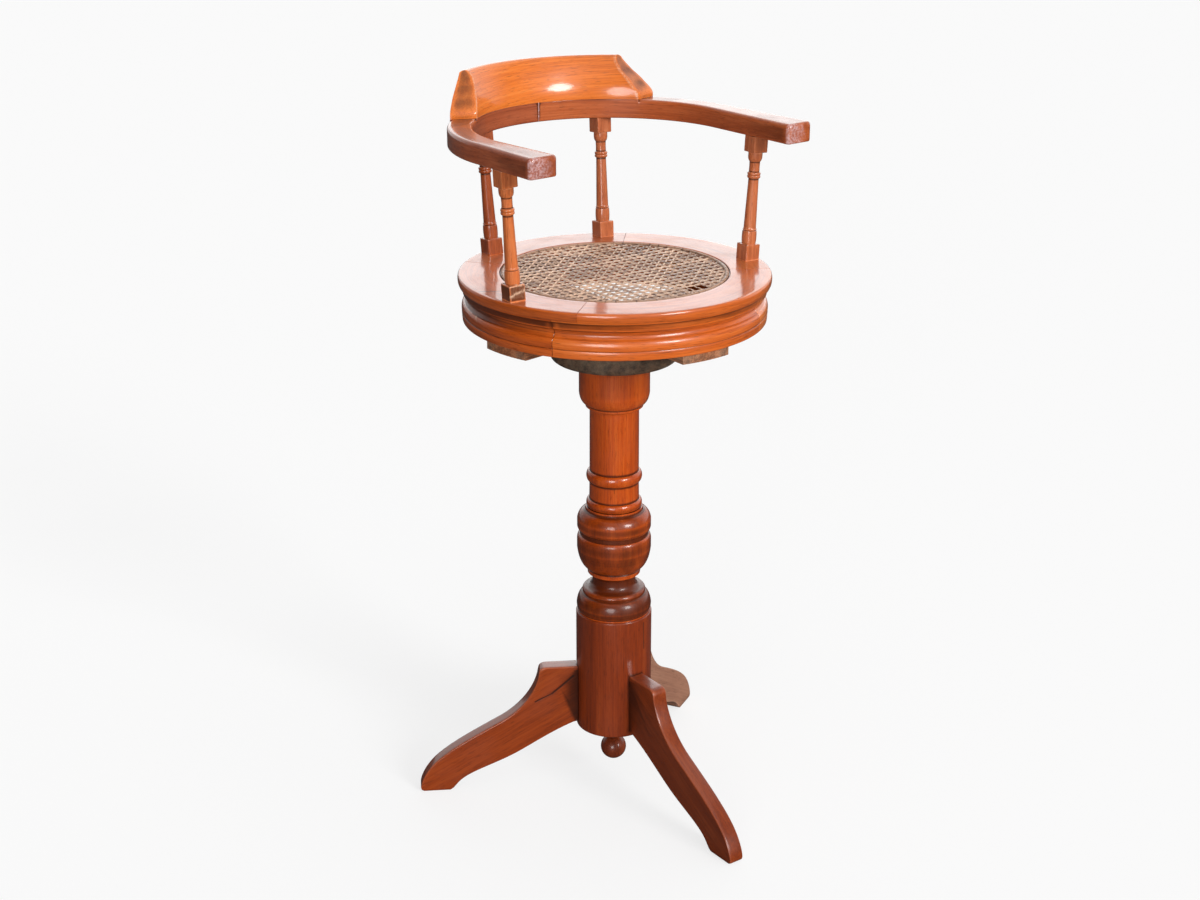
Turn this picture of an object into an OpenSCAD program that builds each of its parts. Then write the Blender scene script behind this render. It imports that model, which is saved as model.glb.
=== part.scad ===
// Revolving barber stool: sabre-legged base with a turned column, round caned seat, horseshoe arms and crest.
// Millimetres. The origin lies on the floor under the column, +Z is up and the sitter faces -Y.

/* [Legs] */
// Distance from the column's axis to the tip of a toe
leg_reach = 276; // [250:1:310]
// Height of the flat shelf where a leg meets the hub
leg_rise = 186; // [176:1:200]
// Thickness of the board that a leg is sawn from
leg_t = 22; // [18:1:28]
// Angle of the front leg to the right of straight ahead, at rest
base_turn = 3; // [-30:1:30]
// Thickness of the tenon on a leg
leg_tenon_t = 12; // [8:1:14]
// Depth that a leg's tenon reaches into the hub
leg_tenon_l = 22; // [14:1:26]
// Open joint between a leg's shoulder and the hub
leg_gap = 0.6; // [0.2:0.1:0.9]

/* [Hub] */
// Radius of the hub
hub_r = 52.4; // [50:0.2:58]
// Height of the hub's underside above the floor
hub_z = 93; // [86:1:98]
// Height of the hub
hub_h = 176; // [150:1:200]
// Radius of the ball drop under the hub
ball_r = 18; // [14:0.5:21]
// Gap between the ball and the floor
ball_clear = 34; // [24:1:40]

/* [Column] */
// Largest radius of the turned column
column_r = 51.6; // [48:0.2:56]
// Height of the turned column above the hub
column_h = 363; // [320:1:420]
// Radius of the column's tenon in the hub
column_tenon_r = 20; // [16:0.5:22]
// Length of the column's tenon in the hub
column_tenon_l = 100; // [60:1:110]

/* [Swivel] */
// Radius of the iron spindle
pivot_r = 11; // [8:0.5:13]
// Length of the iron spindle below its flange
pivot_l = 200; // [150:1:230]
// Radius of the spindle's flange
flange_r = 38; // [35:1:46]
// Thickness of the spindle's flange
flange_t = 5; // [4:0.5:7]
// Length of the bush in the column
bush_l = 60; // [40:1:80]
// Wall of the bush
bush_wall = 3; // [2:0.5:5]
// Thickness of the thrust washer on top of the column
washer_t = 2; // [1:0.5:4]
// Radius of the round block under the seat
block_r = 86; // [76:1:110]
// Thickness of the round block
block_t = 46.7; // [40:0.1:56]

/* [Seat] */
// Outer radius of the apron under the seat ring
seat_r = 200; // [196:1:212]
// Width of the seat ring around the cane, without the nosing that overhangs the apron
ring_w = 50; // [42:1:58]
// Thickness of the seat ring
seat_t = 12; // [10:0.5:18]
// Height of the apron ring
apron_h = 48; // [40:1:60]
// Thickness of the apron ring
apron_w = 43; // [34:1:48]
// Width of the boards that cross under the seat
board_w = 72; // [56:1:84]
// Thickness of the boards that cross under the seat
board_t = 12; // [10:1:18]
// Thickness of the cane panel
cane_t = 2.4; // [1.6:0.2:3]
// Spacing of the gaps in the cane panel
cane_pitch = 16.5; // [16:0.5:24]

/* [Arms] */
// Height of the arms' underside above the seat
arm_rise = 164; // [140:1:200]
// Thickness of an arm
arm_t = 26; // [20:1:32]
// Width of an arm along the round back
arm_w = 33; // [30:1:38]
// Width of an arm at its front end
arm_end_w = 42; // [39:1:48]
// Angle by which the arms' straight fronts lean to the right
arm_lean_angle = 6; // [0:1:8]
// Inner radius of the arms' round back
arm_in_r = 174; // [168:1:184]
// Distance that the centre of the arms' round back lies behind the column's axis
arm_back = 12; // [0:1:24]
// Distance from the column's axis forward to the arms' ends
arm_front = 118; // [90:1:140]
// Height of the crest rail above the arms
crest_h = 56; // [44:1:80]
// Side of the square blocks on a spindle
spindle_w = 22; // [19:0.5:26]
// Radius of a spindle at its lower swelling
spindle_r = 9.75; // [8:0.25:10.5]

/* [Hidden] */
$fn = 96;

// Allowances shared by the joints
cut = 1;
glue_gap = 0.1;
seam = 0.2;
run_gap = 0.3;
pivot_clear = 0.05;

// Number of steps in a curved stretch, and the fullness that makes a quarter round
curve_steps = 6;
ball_steps = 16;
round_share = 0.8;

// Radii of the opening that the cane fills and of the apron's inner wall
cane_r = seat_r - ring_w;
apron_in_r = seat_r - apron_w;

// Heights of the parts above the floor
column_z = hub_z + hub_h;
washer_z = column_z + column_h;
block_z = washer_z + washer_t + run_gap;
board_z = block_z + block_t;
apron_z = board_z + board_t;
seat_z = apron_z + apron_h;
seat_top = seat_z + seat_t;
arm_z = seat_top + arm_rise;
arm_top = arm_z + arm_t;

// Leg outline in shares of leg_reach and leg_rise: cubic runs from the shelf to the toe, and back under the leg
leg_shelf_share = 0.348;
leg_upper_shares = [
    [[0.384, 0.957], [0.399, 0.796], [0.478, 0.651], [0.580, 0.565]],
    [[0.580, 0.565], [0.710, 0.457], [0.841, 0.355], [0.920, 0.242]],
    [[0.920, 0.242], [0.971, 0.167], [1.000, 0.075], [1.000, 0.027]]
];
leg_toe_shares = [[0.996, 0.010], [0.984, 0.000], [0.848, 0.000], [0.832, 0.016]];
leg_lower_shares = [
    [[0.804, 0.065], [0.761, 0.134], [0.670, 0.177], [0.562, 0.250]],
    [[0.562, 0.250], [0.453, 0.323], [0.344, 0.452], [0.192, 0.543]]
];
leg_root_share = 0.543;
leg_tenon_low_share = 0.62;
leg_tenon_high_share = 0.94;
leg_front_angle = -90 + base_turn;
leg_left_angle = 150 + base_turn;
leg_right_angle = 30 + base_turn;

// Hub edges and the ball drop
hub_edge_r = 2;
drop_collar_r = 14;
drop_collar_t = 5;
drop_neck_r = 7.5;
drop_tenon_r = 9;
drop_tenon_l = 26;

// Column outline: shares of column_r and column_h, then the fullness of the curve that leads there
column_shares = [
    [0.960, 0.000, 0], [0.960, 0.008, 0], [1.000, 0.030, 0.8], [0.860, 0.074, 0.6], [0.830, 0.076, 0],
    [0.845, 0.085, 0.8], [0.740, 0.098, 0.8], [0.575, 0.121, -0.7], [0.569, 0.139, 0], [0.620, 0.150, -0.6],
    [0.700, 0.158, 0], [0.711, 0.172, 0], [0.690, 0.176, 0], [0.984, 0.262, 0.62], [0.984, 0.295, 0],
    [0.911, 0.317, 0.8], [0.911, 0.333, 0], [0.979, 0.347, 0.6], [0.979, 0.378, 0], [0.800, 0.413, 0.55],
    [0.765, 0.416, 0], [0.755, 0.427, 0], [0.700, 0.428, 0], [0.735, 0.443, 0.8], [0.660, 0.459, 0.8],
    [0.655, 0.470, 0], [0.649, 0.529, 0], [0.734, 0.550, 0.8], [0.647, 0.571, 0.8], [0.643, 0.811, 0],
    [0.700, 0.822, -0.8], [0.750, 0.824, 0], [0.750, 0.834, 0], [0.920, 0.879, 0.7], [0.920, 0.994, 0],
    [0.890, 1.000, 0.8]
];

// Spindle outline between its square blocks: shares of spindle_r and of the turned length, then the fullness
spindle_shares = [
    [0.94, 0.000, 0], [1.00, 0.070, 0.5], [0.96, 0.142, 0.4], [0.86, 0.150, 0], [0.95, 0.162, 0.8],
    [0.84, 0.186, -0.8], [0.69, 0.715, 0], [0.90, 0.738, 0.8], [0.78, 0.752, 0.8], [0.90, 0.768, 0.8],
    [0.72, 0.786, 0.8], [0.70, 0.840, 0], [0.72, 0.898, 0], [0.79, 0.906, 0.8], [0.96, 0.950, 0.6],
    [0.96, 1.000, 0]
];
spindle_foot_h = 21;
spindle_head_h = 21.5;
spindle_over = 4;
spindle_tenon_r = 6;
spindle_tenon_l = 22;
spindle_head_tenon_l = 15;

// Places of the spindles on the right-hand side: feet on the seat ring and heads under the arm
front_foot_angle = -14.6;
back_foot_angle = 61.5;
back_head_angle = 60.7;
spindle_edge = 2.5;
foot_ring_r = seat_r - spindle_edge - spindle_w / 2;
head_ring_r = arm_in_r + arm_w / 2;
front_foot = [foot_ring_r * cos(front_foot_angle), foot_ring_r * sin(front_foot_angle)];
front_head = [head_ring_r, foot_ring_r * sin(front_foot_angle)];
back_foot = [foot_ring_r * cos(back_foot_angle), foot_ring_r * sin(back_foot_angle)];
back_head = [head_ring_r * cos(back_head_angle), arm_back + head_ring_r * sin(back_head_angle)];

// Joints between the segments of the seat ring and of the apron, as angles from +X
seat_joint_angles = [-136.5, -30.1, 52, 134.5];
apron_joint_angles = [-146, -56, 34, 124];
seam_angle = asin(seam / 2 / seat_r);

// Seat ring: rabbet for the cane and outer nosing
rabbet_w = 8;
cane_sink = 0.6;
seat_lip = 3;
seat_nose = 4.5;
seat_edge_r = 2.5;
seat_nose_share = 0.58;
rabbet_d = cane_t + cane_sink;
cane_z = seat_top - rabbet_d;

// Apron outline: depth inside seat_r as a share of moulding_d, height as a share of apron_h, then the fullness
moulding_d = 8.5;
apron_shares = [
    [0.14, 0.00, 0], [0.09, 0.03, 0.8], [0.02, 0.21, 0], [0.09, 0.23, 0], [0.00, 0.31, 0.7],
    [0.00, 0.36, 0], [0.36, 0.50, 0.6], [0.90, 0.62, -0.6], [0.44, 0.75, -0.75], [0.22, 0.76, 0],
    [-0.30, 0.97, -0.7], [-0.35, 1.00, 0]
];

// Boards that cross under the seat, with the screws that hold them up to the apron
board_end_in = 5;
long_board_angle = 11.6;
short_board_angle = 92.6;
board_screw_in = 19;
board_screw_out = 22;
board_screw_l = 30;
board_screw_r = 2.2;
board_end_r = seat_r - board_end_in;

// Screws of the flange, of the round block and of the crest rail
screw_sink = 0.4;
screw_rim = 0.4;
screw_tip = 4;
screw_head_share = 2;
screw_slot_share = 0.4;
flange_screw_r = 2.4;
flange_screw_l = 25;
flange_screw_ring = 26;
flange_screw_count = 4;
block_screw_r = 2.8;
block_screw_ring = 62;
block_bore_d = 20;
block_bore_r = 8;
block_screw_bite = 9;
block_low_r = 9;
block_top_r = 2;
crest_screw_angles = [52, 78, 102, 128];
crest_screw_r = 2.4;
crest_screw_bite = 22;

// Cane panel and the binder over its rim
cane_gap_share = 0.62;
cane_rim = 12;
binder_in = 1.5;
binder_w = 5;
binder_t = 1.2;

// Thrust washer and spindle end
washer_in = 4;
pivot_chamfer = 1.5;
pivot_end_gap = 3;

// Arms: rounding of the section and of the plan at the front end
arm_edge_r = 5;
arm_under_r = 2.5;
arm_end_r = 9;

// Crest section: shares of arm_w from the arm's inner face and of crest_h, as cubic runs up the front
crest_shares = [
    [[0.00, 0.00], [0.00, 0.16], [0.05, 0.29], [0.18, 0.45]],
    [[0.18, 0.45], [0.31, 0.61], [0.46, 0.83], [0.67, 0.95]],
    [[0.67, 0.95], [0.76, 1.00], [0.88, 1.02], [1.00, 0.95]]
];

// Crest ends: sawn across at crest_end_angle, in cubic runs of shares of crest_end_w and crest_h
crest_end_angle = 20;
crest_end_share = 0.3416;
crest_end_w = 41.6;
crest_foot_share = 0.09;
crest_end_shares = [
    [[0.00, 0.09], [0.03, 0.20], [0.17, 0.27], [0.30, 0.385]],
    [[0.30, 0.385], [0.43, 0.50], [0.55, 0.56], [0.66, 0.65]],
    [[0.66, 0.65], [0.80, 0.78], [0.93, 0.86], [1.02, 1.05]]
];
crest_sweep_angle = 56;
crest_end_y = arm_back * cos(crest_end_angle) + crest_end_share * (arm_in_r + arm_w);

// Points of a curve from p to q: full above zero swells outward, and below zero it hollows inward
function bend(p, q, full) =
    let (corner = (q[0] < p[0]) == (full > 0) ? [p[0], q[1]] : [q[0], p[1]])
    let (mid = (p + q) / 2)
    let (k = mid + (corner - mid) * abs(full))
    [for (i = [1:curve_steps]) let (t = i / curve_steps) p * (1 - t) * (1 - t) + k * 2 * t * (1 - t) + q * t * t];

// Points along a turned outline whose stations are [radius, height, fullness]
function turned(st) = [
    [st[0][0], st[0][1]],
    for (i = [1:len(st) - 1])
        let (p = [st[i - 1][0], st[i - 1][1]], q = [st[i][0], st[i][1]])
        each (st[i][2] == 0 ? [q] : bend(p, q, st[i][2]))
];

// Stations in shares brought to real radii and heights
function sized(shares, r, h) = [for (s = shares) [s[0] * r, s[1] * h, s[2]]];

// Points of a cubic run without its first point
function cubic(c) = [
    for (i = [1:curve_steps])
        let (t = i / curve_steps, u = 1 - t)
        c[0] * u * u * u + c[1] * 3 * u * u * t + c[2] * 3 * u * t * t + c[3] * t * t * t
];

// Points of an arc of radius r about c from angle a0 to a1
function arc(c, r, a0, a1, steps) = [
    for (i = [0:steps]) let (a = a0 + (a1 - a0) * i / steps) c + r * [cos(a), sin(a)]
];

// Shares brought to real sizes
function real(ps, w, h) = [for (p = ps) [p[0] * w, p[1] * h]];

// Points of a rectangle from [x0, y0] to [x1, y1] with its lower corners rounded by lo and its upper ones by hi
function soft_box(x0, y0, x1, y1, lo, hi) = concat(
    arc([x0 + lo, y0 + lo], lo, 180, 270, curve_steps),
    arc([x1 - lo, y0 + lo], lo, 270, 360, curve_steps),
    arc([x1 - hi, y1 - hi], hi, 0, 90, curve_steps),
    arc([x0 + hi, y1 - hi], hi, 90, 180, curve_steps)
);

// Legs
module leg_outline(root) {
    upper = leg_upper_shares;
    lower = leg_lower_shares;
    shelf_end = [leg_shelf_share * leg_reach, leg_rise];
    polygon(concat(
        [[root, leg_rise], shelf_end],
        bend(shelf_end, real([upper[0][0]], leg_reach, leg_rise)[0], round_share),
        [for (run = upper) each cubic(real(run, leg_reach, leg_rise))],
        real(leg_toe_shares, leg_reach, leg_rise),
        real([lower[0][0]], leg_reach, leg_rise),
        [for (run = lower) each cubic(real(run, leg_reach, leg_rise))],
        [[root, leg_root_share * leg_rise]]
    ));
}

module leg_tenon(gap, reach) {
    tenon_h = (leg_tenon_high_share - leg_tenon_low_share) * leg_rise;
    translate([hub_r - leg_tenon_l - gap, -leg_tenon_t / 2 - gap, leg_tenon_low_share * leg_rise - gap])
        cube([leg_tenon_l + gap + reach, leg_tenon_t + 2 * gap, tenon_h + 2 * gap]);
}

module leg(a) {
    color("#8f4a1e")
    rotate([0, 0, a])
    union() {
        difference() {
            rotate([90, 0, 0])
                linear_extrude(leg_t, center = true)
                    leg_outline(hub_r - leg_t);
            translate([0, 0, -cut])
                cylinder(h = leg_rise + 2 * cut, r = hub_r + leg_gap);
        }
        leg_tenon(0, leg_gap + leg_tenon_t);
    }
}

// Hub, ball drop and column
module leg_drum() {
    color("#6b2d17")
    difference() {
        rotate_extrude()
            polygon(concat(
                [[0, hub_z]],
                arc([hub_r - hub_edge_r, hub_z + hub_edge_r], hub_edge_r, -90, 0, curve_steps),
                arc([hub_r - hub_edge_r, column_z - hub_edge_r], hub_edge_r, 0, 90, curve_steps),
                [[0, column_z]]
            ));
        for (a = [leg_front_angle, leg_left_angle, leg_right_angle])
            rotate([0, 0, a])
                leg_tenon(glue_gap, cut);
        translate([0, 0, column_z - column_tenon_l - glue_gap])
            cylinder(h = column_tenon_l + glue_gap + cut, r = column_tenon_r + glue_gap);
        translate([0, 0, hub_z - cut])
            cylinder(h = drop_tenon_l + glue_gap + cut, r = drop_tenon_r + glue_gap);
    }
}

module drop_finial() {
    ball_z = ball_clear + ball_r;
    collar_z = hub_z - drop_collar_t;
    neck_a = acos(drop_neck_r / ball_r);
    neck = [drop_neck_r, (ball_z + ball_r * sin(neck_a) + collar_z) / 2];
    color("#7a3a1a")
    rotate_extrude()
        polygon(concat(
            arc([0, ball_z], ball_r, -90, neck_a, ball_steps),
            [neck],
            bend(neck, [drop_collar_r, collar_z], -round_share),
            [[drop_collar_r, hub_z], [drop_tenon_r, hub_z], [drop_tenon_r, hub_z + drop_tenon_l]],
            [[0, hub_z + drop_tenon_l]]
        ));
}

module column() {
    bore_d = pivot_l + pivot_end_gap;
    color("#8a4220")
    difference() {
        translate([0, 0, column_z])
            rotate_extrude()
                polygon(concat(
                    [[0, -column_tenon_l], [column_tenon_r, -column_tenon_l], [column_tenon_r, 0]],
                    turned(sized(column_shares, column_r, column_h)),
                    [[0, column_h]]
                ));
        translate([0, 0, washer_z - bore_d])
            cylinder(h = bore_d + cut, r = pivot_r + run_gap);
        translate([0, 0, washer_z - bush_l])
            cylinder(h = bush_l + cut, r = pivot_r + bush_wall + glue_gap);
    }
}

// Swivel
module pivot_bush() {
    color("#b08d3c")
    translate([0, 0, washer_z - bush_l])
        difference() {
            cylinder(h = bush_l, r = pivot_r + bush_wall);
            translate([0, 0, -cut])
                cylinder(h = bush_l + 2 * cut, r = pivot_r + pivot_clear);
        }
}

module thrust_washer() {
    color("#b08d3c")
    translate([0, 0, washer_z])
        difference() {
            cylinder(h = washer_t, r = flange_r - washer_in);
            translate([0, 0, -cut])
                cylinder(h = washer_t + 2 * cut, r = pivot_r + run_gap);
        }
}

module pivot_spindle() {
    color("#4a4744")
    difference() {
        translate([0, 0, block_z])
            rotate_extrude()
                polygon([
                    [0, -pivot_l], [pivot_r - pivot_chamfer, -pivot_l], [pivot_r, pivot_chamfer - pivot_l],
                    [pivot_r, 0], [flange_r, 0], [flange_r, flange_t], [0, flange_t]
                ]);
        flange_screw_places()
            screw_hole(flange_screw_r, flange_screw_l);
    }
}

// Wood screws with slotted flat heads: head down at z = 0, point up
module screw_outline(r, l, gap) {
    head_r = screw_head_share * r;
    polygon([
        [0, 0], [head_r + gap, 0], [head_r + gap, screw_rim], [r + gap, head_r - r + screw_rim],
        [r + gap, l - screw_tip], [0, l + gap]
    ]);
}

module wood_screw(r, l) {
    slot_w = screw_slot_share * r;
    head_r = screw_head_share * r;
    color("#5b5650")
    translate([0, 0, screw_sink])
        difference() {
            rotate_extrude()
                screw_outline(r, l, 0);
            translate([-head_r - cut, -slot_w / 2, -cut])
                cube([2 * (head_r + cut), slot_w, cut + slot_w]);
        }
}

module screw_hole(r, l) {
    translate([0, 0, screw_sink])
        rotate_extrude()
            screw_outline(r, l, glue_gap);
    translate([0, 0, -cut])
        cylinder(h = screw_sink + cut, r = screw_head_share * r + glue_gap);
}

module flange_screw_places() {
    for (i = [1:flange_screw_count])
        rotate([0, 0, long_board_angle + i * 360 / flange_screw_count])
            translate([flange_screw_ring, 0, block_z])
                children();
}

module block_screw_places() {
    for (a = [long_board_angle, short_board_angle], side = [0, 180])
        rotate([0, 0, a + side])
            translate([block_screw_ring, 0, block_z + block_bore_d])
                children();
}

module board_screw_places() {
    for (a = [long_board_angle, short_board_angle], side = [0, 180], y = [-1, 1])
        rotate([0, 0, a + side])
            translate([board_end_r - board_screw_in, y * board_screw_out, board_z])
                children();
}

module crest_screw_places() {
    for (a = crest_screw_angles)
        translate([head_ring_r * cos(a), arm_back + head_ring_r * sin(a), arm_z])
            children();
}

module flange_screws() {
    flange_screw_places()
        wood_screw(flange_screw_r, flange_screw_l);
}

module block_screws() {
    block_screw_places()
        wood_screw(block_screw_r, block_t - block_bore_d + block_screw_bite);
}

module board_screws() {
    board_screw_places()
        wood_screw(board_screw_r, board_screw_l);
}

module crest_screws() {
    crest_screw_places()
        wood_screw(crest_screw_r, arm_t + crest_screw_bite);
}

// Round block and crossed boards
module swivel_block() {
    color("#4d4a3c")
    difference() {
        rotate_extrude()
            polygon(concat(
                [[0, block_z]],
                arc([block_r - block_low_r, block_z + block_low_r], block_low_r, -90, 0, curve_steps),
                arc([block_r - block_top_r, board_z - block_top_r], block_top_r, 0, 90, curve_steps),
                [[0, board_z]]
            ));
        translate([0, 0, block_z - cut])
            cylinder(h = flange_t + cut, r = flange_r + glue_gap);
        flange_screw_places()
            screw_hole(flange_screw_r, flange_screw_l);
        block_screw_places() {
            screw_hole(block_screw_r, block_t - block_bore_d + block_screw_bite);
            translate([0, 0, -block_bore_d - cut])
                cylinder(h = block_bore_d + cut, r = block_bore_r);
        }
    }
}

module cross_board(a, other, lap_z) {
    color("#5a4636")
    difference() {
        intersection() {
            rotate([0, 0, a])
                translate([-seat_r, -board_w / 2, board_z])
                    cube([2 * seat_r, board_w, board_t]);
            translate([0, 0, board_z])
                cylinder(h = board_t, r = board_end_r);
        }
        rotate([0, 0, other])
            translate([-seat_r, -board_w / 2 - glue_gap, lap_z])
                cube([2 * seat_r, board_w + 2 * glue_gap, board_t]);
        board_screw_places()
            screw_hole(board_screw_r, board_screw_l);
        block_screw_places()
            screw_hole(block_screw_r, block_t - block_bore_d + block_screw_bite);
    }
}

module cross_board_long() {
    cross_board(long_board_angle, short_board_angle, board_z + board_t / 2);
}

module cross_board_short() {
    cross_board(short_board_angle, long_board_angle, board_z - board_t / 2);
}

// Apron and seat ring, each in four sawn segments
module ring_piece(a0, a1) {
    rotate_extrude(angle = a1 - a0 - 2 * seam_angle, start = a0 + seam_angle)
        children();
}

module apron_outline() {
    outer = turned([for (s = apron_shares) [seat_r - s[0] * moulding_d, apron_z + s[1] * apron_h, s[2]]]);
    polygon(concat([[apron_in_r, apron_z]], outer, [[apron_in_r, seat_z]]));
}

module apron_piece(a0, a1) {
    color("#b5561c")
    difference() {
        ring_piece(a0, a1)
            apron_outline();
        spindle_bores();
        board_screw_places()
            screw_hole(board_screw_r, board_screw_l);
    }
}

module seat_outline() {
    nose_z = seat_z + seat_nose_share * seat_t;
    outer = turned([
        [seat_r + seat_lip, seat_z, 0],
        [seat_r + seat_nose, nose_z, round_share],
        [seat_r + seat_nose - seat_edge_r, seat_top, round_share]
    ]);
    polygon(concat(
        [[cane_r - rabbet_w, seat_z]],
        outer,
        [[cane_r, seat_top], [cane_r, cane_z], [cane_r - rabbet_w, cane_z]]
    ));
}

module seat_piece(a0, a1) {
    color("#a05a3a")
    difference() {
        ring_piece(a0, a1)
            seat_outline();
        spindle_bores();
    }
}

module apron_front() {
    apron_piece(apron_joint_angles[0], apron_joint_angles[1]);
}

module apron_right() {
    apron_piece(apron_joint_angles[1], apron_joint_angles[2]);
}

module apron_back() {
    apron_piece(apron_joint_angles[2], apron_joint_angles[3]);
}

module apron_left() {
    apron_piece(apron_joint_angles[3], apron_joint_angles[0] + 360);
}

module seat_front() {
    seat_piece(seat_joint_angles[0], seat_joint_angles[1]);
}

module seat_right() {
    seat_piece(seat_joint_angles[1], seat_joint_angles[2]);
}

module seat_back() {
    seat_piece(seat_joint_angles[2], seat_joint_angles[3]);
}

module seat_left() {
    seat_piece(seat_joint_angles[3], seat_joint_angles[0] + 360);
}

// Cane: a flat net whose rows of eight-sided gaps run along and across the chair
module cane_panel() {
    gap_w = cane_gap_share * cane_pitch;
    net_r = cane_r - cane_rim;
    count = floor(net_r / cane_pitch);
    color("#d9b98a")
    translate([0, 0, cane_z])
        linear_extrude(cane_t)
            difference() {
                circle(r = cane_r - glue_gap);
                for (i = [-count:count], j = [-count:count])
                    if (norm([i, j]) * cane_pitch + gap_w / 2 < net_r)
                        translate([i * cane_pitch, j * cane_pitch])
                            rotate(22.5)
                                circle(d = gap_w / cos(22.5), $fn = 8);
            }
}

module cane_binder() {
    mid_r = cane_r - binder_in - binder_w / 2;
    color("#cfa772")
    translate([0, 0, cane_z + cane_t])
        rotate_extrude()
            polygon([
                for (i = [0:curve_steps])
                    let (a = 180 * i / curve_steps)
                    [mid_r + binder_w / 2 * cos(a), binder_t * sin(a)]
            ]);
}

// Spindles: each runs up from its foot on the seat ring and leans to its head under the arm
module along_spindle(foot, head) {
    lean = head - foot;
    translate([foot[0], foot[1], seat_top])
        rotate(a = atan(norm(lean) / arm_rise), v = [-lean[1], lean[0], 0])
            children();
}

module shoulder_cut(place, z) {
    translate([place[0] - spindle_w, place[1] - spindle_w, z])
        cube([2 * spindle_w, 2 * spindle_w, spindle_w]);
}

module spindle_tenons(foot, head, gap) {
    long = norm([head[0] - foot[0], head[1] - foot[1], arm_rise]);
    along_spindle(foot, head) {
        translate([0, 0, -spindle_tenon_l - gap])
            cylinder(h = spindle_tenon_l + gap + spindle_foot_h / 2, r = spindle_tenon_r + gap);
        translate([0, 0, long - spindle_head_h / 2])
            cylinder(h = spindle_head_h / 2 + spindle_head_tenon_l + gap, r = spindle_tenon_r + gap);
    }
}

module spindle(foot, head) {
    long = norm([head[0] - foot[0], head[1] - foot[1], arm_rise]);
    turned_h = long - spindle_foot_h - spindle_head_h;
    shaft = turned(sized(spindle_shares, spindle_r, turned_h));
    color("#9a5122")
    union() {
        difference() {
            along_spindle(foot, head)
                union() {
                    translate([-spindle_w / 2, -spindle_w / 2, -spindle_over])
                        cube([spindle_w, spindle_w, spindle_foot_h + spindle_over]);
                    translate([0, 0, spindle_foot_h])
                        rotate_extrude()
                            polygon(concat(
                                [[0, -cut], [shaft[0][0], -cut]],
                                shaft,
                                [[shaft[len(shaft) - 1][0], turned_h + cut], [0, turned_h + cut]]
                            ));
                    translate([-spindle_w / 2, -spindle_w / 2, long - spindle_head_h])
                        cube([spindle_w, spindle_w, spindle_head_h + spindle_over]);
                }
            shoulder_cut(foot, seat_top - spindle_w);
            shoulder_cut(head, arm_z);
        }
        spindle_tenons(foot, head, 0);
    }
}

module spindle_bores() {
    for (side = [0, 1])
        mirror([side, 0, 0]) {
            spindle_tenons(front_foot, front_head, glue_gap);
            spindle_tenons(back_foot, back_head, glue_gap);
        }
}

module spindle_front_right() {
    spindle(front_foot, front_head);
}

module spindle_front_left() {
    mirror([1, 0, 0])
        spindle(front_foot, front_head);
}

module spindle_back_right() {
    spindle(back_foot, back_head);
}

module spindle_back_left() {
    mirror([1, 0, 0])
        spindle(back_foot, back_head);
}

// Arms: rounded along the top as far as the crest rail, square under it, with fronts that grow wider
module arm_section(w) {
    polygon(soft_box(-w / 2, arm_z, w / 2, arm_top, arm_under_r, arm_edge_r));
}

module arm_plan(long) {
    side = arm_end_w / 2;
    polygon(concat(
        arc([arm_end_r - side, arm_end_r - long], arm_end_r, 180, 270, curve_steps),
        arc([side - arm_end_r, arm_end_r - long], arm_end_r, 270, 360, curve_steps),
        [[side + cut, arm_end_r - long], [side + cut, 2 * cut]],
        [[-side - cut, 2 * cut], [-side - cut, arm_end_r - long]]
    ));
}

module arm_straight(splay_angle) {
    long = (arm_front + arm_back + head_ring_r * sin(splay_angle)) / cos(splay_angle);
    root_w = arm_w - (arm_end_w - arm_w) * cut / long;
    translate([0, arm_back, 0])
        rotate([0, 0, splay_angle])
            translate([head_ring_r, 0, 0])
                intersection() {
                    translate([0, cut, 0])
                        rotate([90, 0, 0])
                            linear_extrude(long + cut, scale = [arm_end_w / root_w, 1], slices = 1)
                                arm_section(root_w);
                    translate([0, 0, arm_z - cut])
                        linear_extrude(arm_t + 2 * cut)
                            arm_plan(long);
                }
}

module crest_seat() {
    difference() {
        translate([0, arm_back, 0])
            rotate_extrude(angle = 90 - seam_angle)
                polygon([
                    [arm_in_r, arm_z + arm_t / 2], [arm_in_r + arm_w, arm_z + arm_t / 2],
                    [arm_in_r + arm_w, arm_top], [arm_in_r, arm_top]
                ]);
        rotate([0, 0, crest_end_angle])
            translate([0, -seat_r, arm_z])
                cube([2 * seat_r, seat_r + crest_end_y, 2 * arm_t]);
    }
}

module arm(splay_angle) {
    color("#a35420")
    difference() {
        union() {
            arm_straight(splay_angle);
            translate([0, arm_back, 0])
                rotate_extrude(angle = 90 - seam_angle - splay_angle, start = splay_angle)
                    translate([head_ring_r, 0])
                        arm_section(arm_w);
            crest_seat();
        }
        spindle_bores();
        crest_screw_places()
            screw_hole(crest_screw_r, arm_t + crest_screw_bite);
    }
}

module arm_right() {
    arm(arm_lean_angle);
}

module arm_left() {
    mirror([1, 0, 0])
        arm(-arm_lean_angle);
}

// Crest rail: one sawn piece whose ends are cut to an ogee
module crest_outline() {
    front = [for (run = crest_shares) each cubic(real(run, arm_w, crest_h))];
    polygon(concat(
        [[arm_in_r, arm_top]],
        [for (p = front) [arm_in_r, arm_top] + p],
        [[arm_in_r + arm_w, arm_top]]
    ));
}

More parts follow.
